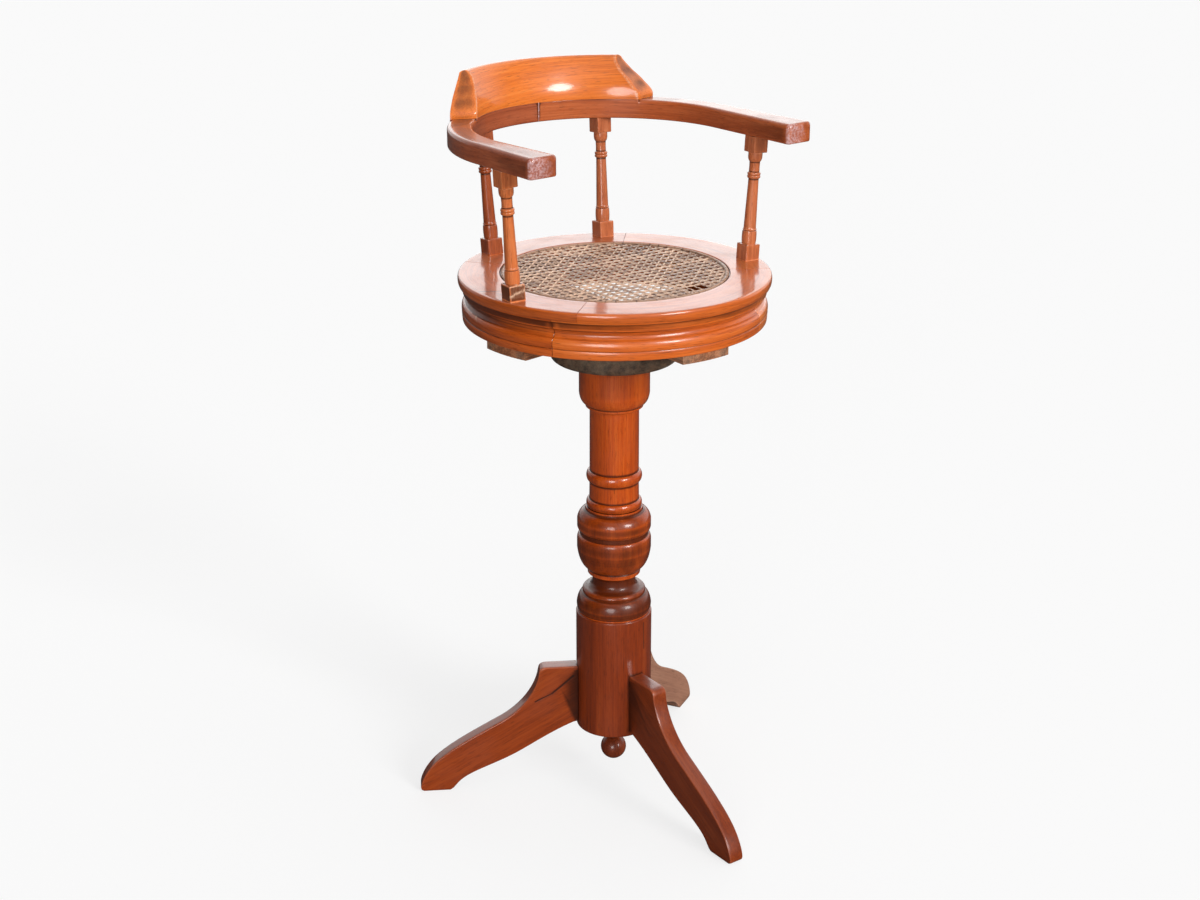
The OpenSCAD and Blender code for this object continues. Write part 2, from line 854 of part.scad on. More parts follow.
module crest_end() {
    outline = [for (run = crest_end_shares) each cubic(real(run, crest_end_w, crest_h))];
    foot = [[0, -cut], [0, crest_foot_share * crest_h]];
    sky_z = arm_top + 2 * crest_h;
    rotate([0, 0, crest_end_angle])
        rotate([90, 0, 90])
            linear_extrude(2 * seat_r)
                polygon(concat(
                    [[-arm_in_r, sky_z], [-arm_in_r, arm_top - cut]],
                    [for (p = concat(foot, outline)) [crest_end_y, arm_top] + p],
                    [[crest_end_y + crest_end_w, sky_z]]
                ));
}

module crest_rail() {
    color("#b4591d")
    difference() {
        translate([0, arm_back, 0])
            rotate_extrude(angle = 2 * crest_sweep_angle, start = 90 - crest_sweep_angle)
                crest_outline();
        for (side = [0, 1])
            mirror([side, 0, 0])
                crest_end();
        crest_screw_places()
            screw_hole(crest_screw_r, arm_t + crest_screw_bite);
    }
}

leg(leg_front_angle);  // leg_front
leg(leg_left_angle);  // leg_left
leg(leg_right_angle);  // leg_right
leg_drum();
drop_finial();
column();
pivot_bush();
thrust_washer();
pivot_spindle();
flange_screws();
swivel_block();
block_screws();
cross_board_long();
cross_board_short();
board_screws();
apron_front();
apron_right();
apron_back();
apron_left();
seat_front();
seat_right();
seat_back();
seat_left();
cane_panel();
cane_binder();
spindle_front_left();
spindle_front_right();
spindle_back_left();
spindle_back_right();
arm_left();
arm_right();
crest_rail();
crest_screws();
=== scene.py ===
import math

import bpy
import numpy as np
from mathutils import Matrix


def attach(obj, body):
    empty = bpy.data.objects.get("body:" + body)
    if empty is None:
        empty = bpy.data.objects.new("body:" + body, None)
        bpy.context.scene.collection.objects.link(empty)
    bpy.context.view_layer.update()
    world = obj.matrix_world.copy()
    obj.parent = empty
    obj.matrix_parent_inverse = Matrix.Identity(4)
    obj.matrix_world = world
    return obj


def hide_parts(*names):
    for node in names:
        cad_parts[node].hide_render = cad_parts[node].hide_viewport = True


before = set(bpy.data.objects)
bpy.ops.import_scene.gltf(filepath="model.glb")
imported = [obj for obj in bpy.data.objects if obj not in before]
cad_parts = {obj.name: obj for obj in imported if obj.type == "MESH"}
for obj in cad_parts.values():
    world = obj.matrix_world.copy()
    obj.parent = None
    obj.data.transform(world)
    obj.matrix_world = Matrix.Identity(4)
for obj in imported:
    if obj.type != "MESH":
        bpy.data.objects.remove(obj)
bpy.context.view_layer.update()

# Studio: a pale seamless floor under broad soft light, two lamps in front of the stool at about its own
# height, one beside the camera and one to the right, and a darker room on the left.
scene = bpy.context.scene
scene.view_settings.view_transform = "Standard"

LENS = 57.0
CAMERA_PLACE = (-1.3257, -1.9983, 1.402)
CAMERA_DOWN_ANGLE = 20.545
CAMERA_TURN_ANGLE = -33.102

camera_data = bpy.data.cameras.new("camera")
camera_data.lens = LENS
camera = bpy.data.objects.new("camera", camera_data)
camera.location = CAMERA_PLACE
camera.rotation_euler = (math.radians(90 - CAMERA_DOWN_ANGLE), 0, math.radians(CAMERA_TURN_ANGLE))
scene.collection.objects.link(camera)
scene.camera = camera


def empty_tree(owner):
    """The node tree of a new material or world, with nothing in it."""
    owner.use_nodes = True
    owner.node_tree.nodes.clear()
    return owner.node_tree


def add(tree, kind, sockets=None, **settings):
    """A shader node. sockets maps an input's name or number to a value or to another node's output."""
    node = tree.nodes.new(kind)
    for key, value in settings.items():
        setattr(node, key, value)
    for key, value in (sockets or {}).items():
        if isinstance(value, bpy.types.NodeSocket):
            tree.links.new(value, node.inputs[key])
        else:
            node.inputs[key].default_value = value
    return node


def maths(operation, a, b=0.0, clamp=False):
    """The output of a math node on two values, of which one at least comes from a node."""
    tree = (a if isinstance(a, bpy.types.NodeSocket) else b).id_data
    return add(tree, "ShaderNodeMath", {0: a, 1: b}, operation=operation, use_clamp=clamp).outputs[0]


def plus(a, b):
    """The sum of two values."""
    return maths("ADD", a, b)


def times(a, b):
    """The product of two values."""
    return maths("MULTIPLY", a, b)


def vectors(operation, a, b, output="Vector"):
    """The output of a vector math node on two vectors."""
    return add(a.id_data, "ShaderNodeVectorMath", {0: a, 1: b}, operation=operation).outputs[output]


def ramp(value, low, high, to_low=0.0, to_high=1.0):
    """value from low to high, eased to the range from to_low to to_high."""
    return add(value.id_data, "ShaderNodeMapRange", {
        "Value": value, "From Min": low, "From Max": high, "To Min": to_low, "To Max": to_high},
        interpolation_type="SMOOTHSTEP").outputs[0]


def between(share, a, b):
    """Value a turning into value b as share goes from 0 to 1."""
    return add(share.id_data, "ShaderNodeMix", {0: share, 2: a, 3: b}, data_type="FLOAT").outputs[0]


ROOM_LIGHT = 0.66
ROOM_LEFT = 0.03
RIGHT_OF_CAMERA = (0.838, -0.546, 0.0)
BEHIND_STOOL = (0.546, 0.838, 0.0)

world = bpy.data.worlds.new("studio")
scene.world = world
tree = empty_tree(world)
rays = add(tree, "ShaderNodeLightPath").outputs
way = add(tree, "ShaderNodeTexCoord").outputs["Generated"]
side = vectors("DOT_PRODUCT", way, RIGHT_OF_CAMERA, "Value")
behind = vectors("DOT_PRODUCT", way, BEHIND_STOOL, "Value")
room = ramp(side, -0.75, 0.35, ROOM_LEFT, ROOM_LIGHT)
wall = times(ramp(behind, 0.05, 0.6), ramp(side, -0.95, -0.2, 0.55, 1.0))
shine = maths("MINIMUM", plus(ramp(side, -0.2, 0.9, 0.02, 0.14), wall), 1.0)
through = maths("MAXIMUM", rays["Is Camera Ray"], rays["Is Transmission Ray"])
level = between(through, between(rays["Is Glossy Ray"], room, shine), 1.0)
sky = add(tree, "ShaderNodeBackground", {"Color": (1, 1, 1, 1), "Strength": level})
add(tree, "ShaderNodeOutputWorld", {"Surface": sky.outputs[0]})

# Each lamp: its name, angle to the right of the camera, height angle, strength and apparent width
LAMPS = (
    ("lamp_camera", -10, 10, 1.15, 25),
    ("lamp_right", 45, 24, 1.85, 20),
    ("lamp_above", 20, 74, 0.45, 70),
    ("lamp_behind", 180, 18, 0.38, 44),
)
TOWARDS_CAMERA_ANGLE = 236.898
for name, to_right, height, strength, width in LAMPS:
    lamp_data = bpy.data.lights.new(name, "SUN")
    lamp_data.energy = strength
    lamp_data.angle = math.radians(width)
    lamp = bpy.data.objects.new(name, lamp_data)
    lamp.rotation_euler = (math.radians(90 - height), 0, math.radians(TOWARDS_CAMERA_ANGLE + to_right + 90))
    scene.collection.objects.link(lamp)

FLOOR_HALF = 14.0
FLOOR_COUNT = 24
FLOOR_GLOW = 0.72
FLOOR_TONE = 0.93
FLOOR_GLOSSY_TONE = 0.06
FLOOR_DIFFUSE_TONE = 0.42
steps = np.linspace(-FLOOR_HALF, FLOOR_HALF, FLOOR_COUNT)
floor_faces = []
for j in range(FLOOR_COUNT - 1):
    for i in range(FLOOR_COUNT - 1):
        first = i + j * FLOOR_COUNT
        floor_faces.append((first, first + 1, first + 1 + FLOOR_COUNT, first + FLOOR_COUNT))
floor_mesh = bpy.data.meshes.new("floor")
floor_mesh.from_pydata([(x, y, 0) for y in steps for x in steps], [], floor_faces)
floor = bpy.data.objects.new("floor", floor_mesh)
scene.collection.objects.link(floor)
floor_paper = bpy.data.materials.new("floor_paper")
tree = empty_tree(floor_paper)
rays = add(tree, "ShaderNodeLightPath").outputs
white = times(maths("MAXIMUM", rays["Is Camera Ray"], rays["Is Transmission Ray"]), FLOOR_GLOW)
tone = between(rays["Is Glossy Ray"], FLOOR_TONE, FLOOR_GLOSSY_TONE)
tone = between(rays["Is Diffuse Ray"], tone, FLOOR_DIFFUSE_TONE)
paper = add(tree, "ShaderNodeBsdfDiffuse", {"Color": tone})
glow = add(tree, "ShaderNodeEmission", {"Color": (1, 1, 1, 1), "Strength": 1.0})
both = add(tree, "ShaderNodeMixShader", {0: white, 1: paper.outputs[0], 2: glow.outputs[0]})
add(tree, "ShaderNodeOutputMaterial", {"Surface": both.outputs[0]})
floor_mesh.materials.append(floor_paper)

# Legs: three legs sawn from mahogany board in an S with upright flat sides, their arrises softened by
# hand, french polished, and tenoned and glued into the hub. They have knocks, cracks and dirt at the joints.
MM = 0.001
SHOW_STEPS = 10
BEND_SHARE = 0.6
CAP_INSET = 3.0


def heading(angle):
    """A step of 1 in plan at that angle from the X axis."""
    return np.array([np.cos(np.radians(angle)), np.sin(np.radians(angle))])


def turn(points, angle):
    """Points turned about the column's axis."""
    c, s = heading(angle)
    x, y, z = np.array(points, float).T
    return np.stack([x * c - y * s, x * s + y * c, z], 1)


def bend(p, q, full, count=SHOW_STEPS):
    """Points after p on a curve to q: full above zero swells outward, below zero it hollows inward."""
    p, q = np.array(p, float), np.array(q, float)
    corner = np.array([p[0], q[1]] if (q[0] < p[0]) == (full > 0) else [q[0], p[1]])
    middle = (p + q) / 2
    pull = middle + (corner - middle) * abs(full)
    return [p * (1 - t) ** 2 + pull * 2 * t * (1 - t) + q * t * t for t in np.arange(1, count + 1) / count]


def cubic(run, wide, high, count):
    """Points after the first on a cubic curve whose four points are shares of wide and high."""
    a, b, c, d = [np.array([p[0] * wide, p[1] * high]) for p in run]
    return [a * (1 - t) ** 3 + 3 * b * t * (1 - t) ** 2 + 3 * c * t * t * (1 - t) + d * t ** 3
            for t in np.arange(1, count + 1) / count]


def divided(points, longest, closed=False):
    """The same outline with extra points, so that no stretch of it is longer than longest."""
    points = [np.array(p, float) for p in points]
    ends = points[1:] + points[:1] if closed else points[1:]
    result = []
    for p, q in zip(points, ends):
        count = max(1, math.ceil(np.linalg.norm(q - p) / longest))
        result += [p + (q - p) * i / count for i in range(count)]
    return np.array(result if closed else result + [points[-1]])


def inset(outline, by):
    """A closed counter-clockwise outline moved inwards."""
    before = outline - np.roll(outline, 1, 0)
    after = np.roll(outline, -1, 0) - outline
    before /= np.maximum(np.linalg.norm(before, axis=1), 1e-9)[:, None]
    after /= np.maximum(np.linalg.norm(after, axis=1), 1e-9)[:, None]
    inward = np.stack([-before[:, 1] - after[:, 1], before[:, 0] + after[:, 0]], 1)
    spread = np.maximum(1 + (before * after).sum(1), 0.3)
    return outline + inward / spread[:, None] * by


def lofted(rings, closed=True):
    """Vertices and faces through rings of equally many points, with a face over each end if closed."""
    count = len(rings[0])
    faces = []
    for i in range(len(rings) - 1):
        for j in range(count):
            k = (j + 1) % count
            faces.append((i * count + j, i * count + k, (i + 1) * count + k, (i + 1) * count + j))
    if closed:
        faces.append(tuple(reversed(range(count))))
        faces.append(tuple(range((len(rings) - 1) * count, len(rings) * count)))
    return np.concatenate(rings), faces


def weathered(mesh):
    """For each vertex, how much it stands on an edge (below zero) or sits in a hollow (above zero)."""
    count = len(mesh.vertices)
    place, facing = np.empty(count * 3), np.empty(count * 3)
    mesh.vertices.foreach_get("co", place)
    mesh.vertex_normals.foreach_get("vector", facing)
    place, facing = place.reshape(-1, 3), facing.reshape(-1, 3)
    ends = np.empty(len(mesh.edges) * 2, int)
    mesh.edges.foreach_get("vertices", ends)
    a, b = ends.reshape(-1, 2).T
    step = place[b] - place[a]
    step /= np.maximum(np.linalg.norm(step, axis=1), 1e-9)[:, None]
    bent, share = np.zeros(count), np.full(count, 1e-6)
    for here, sign in ((a, 1), (b, -1)):
        np.add.at(bent, here, sign * (facing[here] * step).sum(1))
        np.add.at(share, here, 1)
    bent /= share
    total, weight = bent * 2, np.full(count, 2.0)
    for here, there in ((a, b), (b, a)):
        np.add.at(total, here, bent[there])
        np.add.at(weight, here, 1)
    return total / weight


def straight_grain(along, across):
    """Places in a board: across the grain, along it, and across it the other way."""
    along = np.array(along, float) / np.linalg.norm(along)
    across = np.array(across, float)
    across = across - along * (across @ along)
    across /= np.linalg.norm(across)
    third = np.cross(along, across)
    return lambda places: np.stack([places @ across, places @ along, places @ third], 1)


def piece(name, body, material, shells, grain, shift=0.0, extra=None, bare=None, sharp=38):
    """A piece from shells of vertices in millimetres and faces. grain gives, for places in millimetres, their
    places in the wood; extra and bare give added darkening (above zero), which is dirt and on some pieces
    painted shade, and unpolished wood (up to 1)."""
    places, faces, base = [], [], 0
    for spots, surface in shells:
        places.append(np.array(spots, float))
        faces += [tuple(int(v) + base for v in f) for f in surface]
        base += len(spots)
    places = np.concatenate(places)
    mesh = bpy.data.meshes.new(name)
    mesh.from_pydata((places * MM).tolist(), [], faces)
    mesh.validate()
    mesh.shade_smooth()
    mesh.set_sharp_from_angle(angle=math.radians(sharp))
    wood = grain(places) * MM + shift
    mesh.attributes.new("grain", "FLOAT_VECTOR", "POINT").data.foreach_set("vector", wood.ravel())
    bent = weathered(mesh) * BEND_SHARE
    if extra is not None:
        bent = bent + extra(places)
    mesh.attributes.new("bent", "FLOAT", "POINT").data.foreach_set("value", bent)
    if bare is not None:
        mesh.attributes.new("bare", "FLOAT", "POINT").data.foreach_set("value", bare(places))
    mesh.materials.append(material)
    made = bpy.data.objects.new(name, mesh)
    scene.collection.objects.link(made)
    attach(made, body)
    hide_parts(name)
    return made


def srgb(red, green, blue):
    """A colour written as on a screen, 0 to 255, brought to linear light."""
    parts = [v / 255 for v in (red, green, blue)]
    return tuple([v / 12.92 if v <= 0.04045 else ((v + 0.055) / 1.055) ** 2.4 for v in parts] + [1.0])


def blend(share, a, b):
    """Colour a turning into colour b as share goes from 0 to 1."""
    return add(share.id_data, "ShaderNodeMix", {0: share, 6: a, 7: b}, data_type="RGBA").outputs[2]


def noise(spot, scale, detail=4.0, harsh=0.55):
    """Noise at places that are first drawn out by the three numbers of scale."""
    placed = vectors("MULTIPLY", spot, scale)
    return add(spot.id_data, "ShaderNodeTexNoise", {
        "Vector": placed, "Scale": 1.0, "Detail": detail, "Roughness": harsh}).outputs["Fac"]


def relief(height, metres, strength=0.5):
    """A surface that a height makes uneven."""
    return add(height.id_data, "ShaderNodeBump", {
        "Height": height, "Distance": metres, "Strength": strength}).outputs[0]


def new_material(name):
    """A new material, its node tree and the places on the object that its pattern is laid out by."""
    material = bpy.data.materials.new(name)
    tree = empty_tree(material)
    return material, tree, add(tree, "ShaderNodeTexCoord").outputs["Object"]


def finish(material, sockets):
    """The material, ended in one shader with these sockets."""
    shader = add(material.node_tree, "ShaderNodeBsdfPrincipled", sockets)
    add(material.node_tree, "ShaderNodeOutputMaterial", {"Surface": shader.outputs[0]})
    return material


def marks(spot, lines):
    """1 on any of the straight lines from a to b, in millimetres, falling to 0 at their width beside them."""
    tree = spot.id_data
    share = 0.0
    for a, b, width in lines:
        a, b = np.array(a, float) * MM, np.array(b, float) * MM
        run = b - a
        away = vectors("SUBTRACT", spot, tuple(a))
        part = vectors("DOT_PRODUCT", away, tuple(run / (run @ run)), "Value")
        part = add(tree, "ShaderNodeClamp", {0: part}).outputs[0]
        foot = add(tree, "ShaderNodeVectorMath", {0: tuple(run), "Scale": part}, operation="SCALE").outputs[0]
        gap = vectors("DISTANCE", away, foot, "Value")
        share = maths("MAXIMUM", ramp(gap, width * MM * 0.25, width * MM, 1.0, 0.0), share)
    return share


def polish(name, colours, dirt=1.0, wear=1.0, streaks=1.0, gloss=0.9, cracks=(), scratches=(), rough=0.3,
           film=0.13, broken_colour=srgb(214, 178, 148)):
    """French-polished wood in deep, middle and pale colours, with figure and pores along the grain, dirt in
    the hollows, the piece's added darkening (dirt, and on some pieces painted shade) and wear on the edges.
    film is the roughness of the polish itself, rough that of the wood."""
    deep, body, pale = [srgb(*c) for c in colours]
    material, tree, spot = new_material(name)
    grain = add(tree, "ShaderNodeAttribute", attribute_name="grain").outputs["Vector"]
    bent = add(tree, "ShaderNodeAttribute", attribute_name="bent").outputs["Fac"]
    bare = add(tree, "ShaderNodeAttribute", attribute_name="bare").outputs["Fac"]
    bands = noise(grain, (85, 3.5, 85), 5.0, 0.62)
    fine = noise(grain, (520, 11, 520), 3.0)
    broad = noise(grain, (16, 4, 16), 2.0)
    pores = noise(grain, (1500, 60, 1500), 2.0, 0.5)
    figure = plus(times(bands, 0.42), plus(times(fine, 0.38), times(broad, 0.2)))
    spread = 0.34 / streaks
    tone = add(tree, "ShaderNodeValToRGB", {"Fac": ramp(figure, 0.5 - spread, 0.5 + spread)})
    stops = tone.color_ramp.elements
    stops[0].color = deep
    stops[1].color = pale
    stops.new(0.5).color = body
    flecks = ramp(pores, 0.58, 0.70)
    colour = blend(times(flecks, 0.55), tone.outputs["Color"], [c * 0.25 for c in deep[:3]] + [1])
    uneven = maths("SUBTRACT", noise(grain, (34, 12, 34), 5.0, 0.62), 0.5)
    # grime_and_shade darkens hollows as dirt, and adds the bent attribute's extra darkening, which on some
    # pieces is painted shade
    grime_and_shade = ramp(plus(times(bent, 9.0 * dirt), times(uneven, 0.6)), 0.2, 0.75)
    colour = blend(times(grime_and_shade, 0.8), colour, srgb(38, 14, 6))
    rubbed = ramp(plus(times(bent, -7.0 * wear), times(uneven, 0.5)), 0.28, 0.9)
    worn = [min(1.0, c * 1.35 + 0.02) for c in pale[:3]] + [1]
    colour = blend(times(rubbed, 0.6), colour, worn)
    broken = times(bare, ramp(noise(grain, (330, 250, 330), 4.0, 0.65), 0.4, 0.6, 0.2, 1.0))
    colour = blend(broken, colour, broken_colour)
    height = maths("SUBTRACT", times(fine, 0.35), times(flecks, 0.6))
    if cracks:
        opened = marks(spot, cracks)
        colour = blend(times(opened, 0.85), colour, srgb(30, 13, 8))
        height = maths("SUBTRACT", height, times(opened, 3.0))
    if scratches:
        colour = blend(times(marks(spot, scratches), 0.5), colour, srgb(226, 180, 140))
    dull = ramp(noise(grain, (26, 14, 26), 4.0, 0.6), 0.42, 0.68)
    roughness = plus(plus(times(dull, 0.14), times(rubbed, 0.18)), plus(times(broken, 0.25), rough))
    lost = maths("MAXIMUM", times(maths("MAXIMUM", grime_and_shade, rubbed), 0.55), broken)
    swell = plus(noise(grain, (45, 22, 45), 2.0), times(noise(grain, (240, 40, 240), 2.0), 0.1))
    return finish(material, {
        "Base Color": colour, "Roughness": roughness, "Normal": relief(height, 0.00012),
        "Specular IOR Level": 0.35, "Coat Weight": maths("SUBTRACT", gloss, lost, clamp=True),
        "Coat Roughness": film, "Coat Normal": relief(swell, 0.0006), "Coat IOR": 1.5})


def polished(name, body, slot, colours, shells, grain, shift, extra=None, bare=None, sharp=38, **looks):
    """A piece in a polish of its own."""
    return piece(name, body, polish(name + "_polish", colours, **looks), shells, grain,
                 shift=shift, extra=extra, bare=bare, sharp=sharp)


def fading(gap, reach):
    """1 where a gap is zero, fading out over reach."""
    return np.exp(-np.maximum(gap, 0) / reach)


LEG_ANGLES = {"leg_front": -87.0, "leg_left": 153.0, "leg_right": 33.0}
LEG_REACH = 276.0
LEG_RISE = 186.0
LEG_HALF = 11.0
LEG_ROOT_R = 53.0
LEG_EDGE_R = 1.8
LEG_INNER_ROW = 4.0
LEG_SHELF_SHARE = 0.348
LEG_UPPER = (
    ((0.384, 0.957), (0.399, 0.796), (0.478, 0.651), (0.580, 0.565)),
    ((0.580, 0.565), (0.710, 0.457), (0.841, 0.355), (0.920, 0.242)),
    ((0.920, 0.242), (0.971, 0.167), (1.000, 0.075), (1.000, 0.027)),
)
LEG_TOE = ((0.996, 0.010), (0.984, 0.000), (0.848, 0.000), (0.832, 0.016))
LEG_LOWER = (
    ((0.804, 0.065), (0.761, 0.134), (0.670, 0.177), (0.562, 0.250)),
    ((0.562, 0.250), (0.453, 0.323), (0.344, 0.452), (0.192, 0.543)),
)
LEG_ROOT_LOW = 0.543 * LEG_RISE
LEG_GRAIN_RUN = 0.86
LEG_GRAIN_DROP = 0.5
LEG_CRACK = ((58, LEG_HALF, 172), (88, LEG_HALF, 146), (112, LEG_HALF, 134))


def leg_outline():
    """The side of a leg as reach and height, counter-clockwise from the foot of its root."""
    leg_size = np.array([LEG_REACH, LEG_RISE])
    shelf = leg_size * (LEG_SHELF_SHARE, 1.0)
    top = [shelf] + bend(shelf, leg_size * LEG_UPPER[0][0], 0.8, 6)
    for run in LEG_UPPER:
        top += cubic(run, LEG_REACH, LEG_RISE, 12)
    low = [leg_size * p for p in LEG_TOE + LEG_LOWER[0][:1]]
    for run in LEG_LOWER:
        low += cubic(run, LEG_REACH, LEG_RISE, 12)
    ahead = [np.array([LEG_ROOT_R, LEG_RISE])] + top + low
    ahead[-1] = np.array([LEG_ROOT_R, LEG_ROOT_LOW])
    return divided(list(reversed(ahead)), 6.0, closed=True)


def leg_shell(angle):
    """A leg's board, coped to the hub at its root, turned to its place."""
    outline = leg_outline()
    root = outline[:, 0] < LEG_ROOT_R + 0.01
    layers = [(LEG_EDGE_R + CAP_INSET, LEG_HALF), (LEG_EDGE_R, LEG_HALF)]
    for over, deep in (1 - heading(np.linspace(22.5, 90, 4))[::-1]).T:
        layers.append((LEG_EDGE_R * over, LEG_HALF - LEG_EDGE_R * deep))
    layers.append((0.0, LEG_INNER_ROW))
    layers += [(by, -y) for by, y in reversed(layers)]
    rings = []
    for by, y in layers:
        ring = inset(outline, by)
        ring[root, 0] = math.sqrt(LEG_ROOT_R ** 2 - y * y)
        ring[root, 1] = np.where(ring[root, 1] > LEG_RISE - 4 * LEG_EDGE_R, ring[root, 1], outline[root, 1])
        ring[:, 1] = np.maximum(ring[:, 1], 0.0)
        rings.append(np.stack([ring[:, 0], np.full(len(ring), y), ring[:, 1]], 1))
    places, faces = lofted(rings)
    return turn(places, angle), faces


def leg_dirt(places):
    """Extra dirt on a leg: on its sole and where it meets the hub."""
    reach = np.hypot(places[:, 0], places[:, 1])
    return 0.11 * fading(places[:, 2], 4.0) + 0.10 * fading(reach - LEG_ROOT_R, 3.5)


# Deep, middle and pale colours of each leg; the back leg's (leg_right) are pale and pinkish, a painted
# reflection of the bright studio on its polish.
LEG_COLOURS_AND_SHEEN = {
    "leg_front": ((88, 31, 7), (124, 48, 13), (152, 68, 26)),
    "leg_left": ((104, 38, 10), (140, 56, 16), (166, 76, 28)),
    "leg_right": ((152, 100, 78), (180, 128, 102), (200, 150, 124)),
}
for name, angle in LEG_ANGLES.items():
    a, b, c = turn(LEG_CRACK, angle)
    cracks = ((a, b, 2.4), (b, c, 1.6)) if name == "leg_left" else ()
    x, y = heading(angle)
    grain = straight_grain((LEG_GRAIN_RUN * x, LEG_GRAIN_RUN * y, -LEG_GRAIN_DROP), (0, 0, 1))
    polished(name, "base", "leg_wood", LEG_COLOURS_AND_SHEEN[name], [leg_shell(angle)], grain, angle * 0.01,
             extra=leg_dirt, wear=1.5, cracks=cracks)

# Hub: a plain turned mahogany cylinder that the three legs are tenoned into, with the column's tenon in its
# top. Its old polish has gone dark, in streaks and round the joints.
HUB_R = 52.4
HUB_LOW = 93.0
HUB_TOP = 269.0
HUB_EDGE_R = 2.0
HUB_CRACK = ((16.2, -49.8, 262), (17.0, -49.5, 222), 1.2)
UPRIGHT = straight_grain((0, 0, 1), (1, 0, 0))
ROUND_COUNT = 128


def arc(x, z, radius, start, end, count=6):
    """Points on an arc from one angle to the other."""
    return list(np.array([x, z]) + radius * heading(np.linspace(start, end, count + 1)).T)


def lathe(outline, count=ROUND_COUNT, longest=4.0):
    """A turned shell round the axis from an outline of radius and height that starts and ends on the axis."""
    places, faces, rows = [], [], []
    across, along = heading(np.linspace(0, 360, count, endpoint=False))
    for r, z in divided(outline, longest):
        if r < 1e-6:
            rows.append([len(places)] * count)
            places.append((0.0, 0.0, z))
        else:
            rows.append(list(range(len(places), len(places) + count)))
            places += zip(r * across, r * along, [z] * count)
    for low, high in zip(rows[:-1], rows[1:]):
        for j in range(count):
            k = (j + 1) % count
            face = [low[j], low[k], high[k], high[j]]
            face = [v for n, v in enumerate(face) if v != face[n - 1]]
            if len(face) > 2:
                faces.append(tuple(face))
    return np.array(places), faces


def hub_dirt(places):
    """Extra dirt on the hub: round each leg's root, in the groove at the top and along the lower edge."""
    dirt = 0.05 * fading(HUB_TOP - places[:, 2], 3.0) + 0.05 * fading(places[:, 2] - HUB_LOW, 5.0)
    outside = np.hypot(places[:, 0], places[:, 1]) > HUB_R - 1
    for angle in LEG_ANGLES.values():
        ahead, aside, z = turn(places, -angle).T
        beside = np.maximum(np.abs(aside) - LEG_HALF, 0)
        above = np.maximum(np.maximum(LEG_ROOT_LOW - z, z - LEG_RISE), 0)
        dirt = dirt + 0.10 * fading(np.hypot(beside, above), 4.0) * (ahead > 0) * outside
    return dirt


hub_outline = [(0, HUB_LOW)] + arc(HUB_R - HUB_EDGE_R, HUB_LOW + HUB_EDGE_R, HUB_EDGE_R, -90, 0)
hub_outline += arc(HUB_R - HUB_EDGE_R, HUB_TOP - HUB_EDGE_R, HUB_EDGE_R, 0, 90) + [(0, HUB_TOP)]
polished("leg_drum", "base", "dark_wood", ((88, 29, 5), (130, 47, 8), (158, 68, 22)), [lathe(hub_outline)],
         UPRIGHT, 0.4, extra=hub_dirt, dirt=0.9, wear=0.8, streaks=0.95, gloss=0.75, rough=0.38,
         cracks=(HUB_CRACK,))

# Ball drop: a small turned mahogany ball on a short neck and collar, its tenon glued into the underside of
# the hub.
BALL_R = 18.0
BALL_Z = 52.0
DROP_NECK_R = 7.5
DROP_COLLAR_R = 14.0
DROP_COLLAR_Z = 88.0
DROP_COLLAR_EDGE = 0.8
neck_angle = math.degrees(math.acos(DROP_NECK_R / BALL_R))
neck_z = (BALL_Z + BALL_R * math.sin(math.radians(neck_angle)) + DROP_COLLAR_Z) / 2
drop_outline = arc(0, BALL_Z, BALL_R, -90, neck_angle, 24) + [(DROP_NECK_R, neck_z)]
drop_outline[0][0] = 0.0
drop_outline += bend((DROP_NECK_R, neck_z), (DROP_COLLAR_R - DROP_COLLAR_EDGE, DROP_COLLAR_Z), -0.8, 6)
drop_outline += [(DROP_COLLAR_R, DROP_COLLAR_Z + DROP_COLLAR_EDGE), (DROP_COLLAR_R, HUB_LOW), (0, HUB_LOW)]
polished("drop_finial", "base", "dark_wood", ((62, 22, 6), (124, 48, 16), (156, 74, 34)),
         [lathe(drop_outline, 64, 2.5)], UPRIGHT, 0.7, wear=1.1, gloss=0.7, rough=0.38)

# Column: one length of mahogany turned with a foot torus, bulb, collar, beads and a capital, french
# polished; its tenon is glued into the hub and its top is bored for the iron spindle.
COLUMN_R = 51.6
COLUMN_LOW = 269.0
COLUMN_H = 363.0
COLUMN_STATIONS = (
    (0.960, 0.000, 0), (0.960, 0.008, 0), (1.000, 0.030, 0.8), (0.860, 0.074, 0.6), (0.830, 0.076, 0),
    (0.845, 0.085, 0.8), (0.740, 0.098, 0.8), (0.575, 0.121, -0.7), (0.569, 0.139, 0), (0.620, 0.150, -0.6),
    (0.700, 0.158, 0), (0.711, 0.172, 0), (0.690, 0.176, 0), (0.984, 0.262, 0.62), (0.984, 0.295, 0),
    (0.911, 0.317, 0.8), (0.911, 0.333, 0), (0.979, 0.347, 0.6), (0.979, 0.378, 0), (0.800, 0.413, 0.55),
    (0.765, 0.416, 0), (0.755, 0.427, 0), (0.700, 0.428, 0), (0.735, 0.443, 0.8), (0.660, 0.459, 0.8),
    (0.655, 0.470, 0), (0.649, 0.529, 0), (0.734, 0.550, 0.8), (0.647, 0.571, 0.8), (0.643, 0.811, 0),
    (0.700, 0.822, -0.8), (0.750, 0.824, 0), (0.750, 0.834, 0), (0.920, 0.879, 0.7), (0.920, 0.994, 0),
    (0.890, 1.000, 0.8),
)
BORE_R = 11.3
BORE_D = 203.0
BUSH_SEAT_R = 14.1
BUSH_D = 60.0


def turned(stations, radius, high, low=0.0):
    """Points of a turned outline from stations of radius share, height share and fullness."""
    points = [np.array([stations[0][0] * radius, low + stations[0][1] * high])]
    for before, here in zip(stations[:-1], stations[1:]):
        p = (before[0] * radius, low + before[1] * high)
        q = (here[0] * radius, low + here[1] * high)
        points += bend(p, q, here[2]) if here[2] else [np.array(q)]
    return points


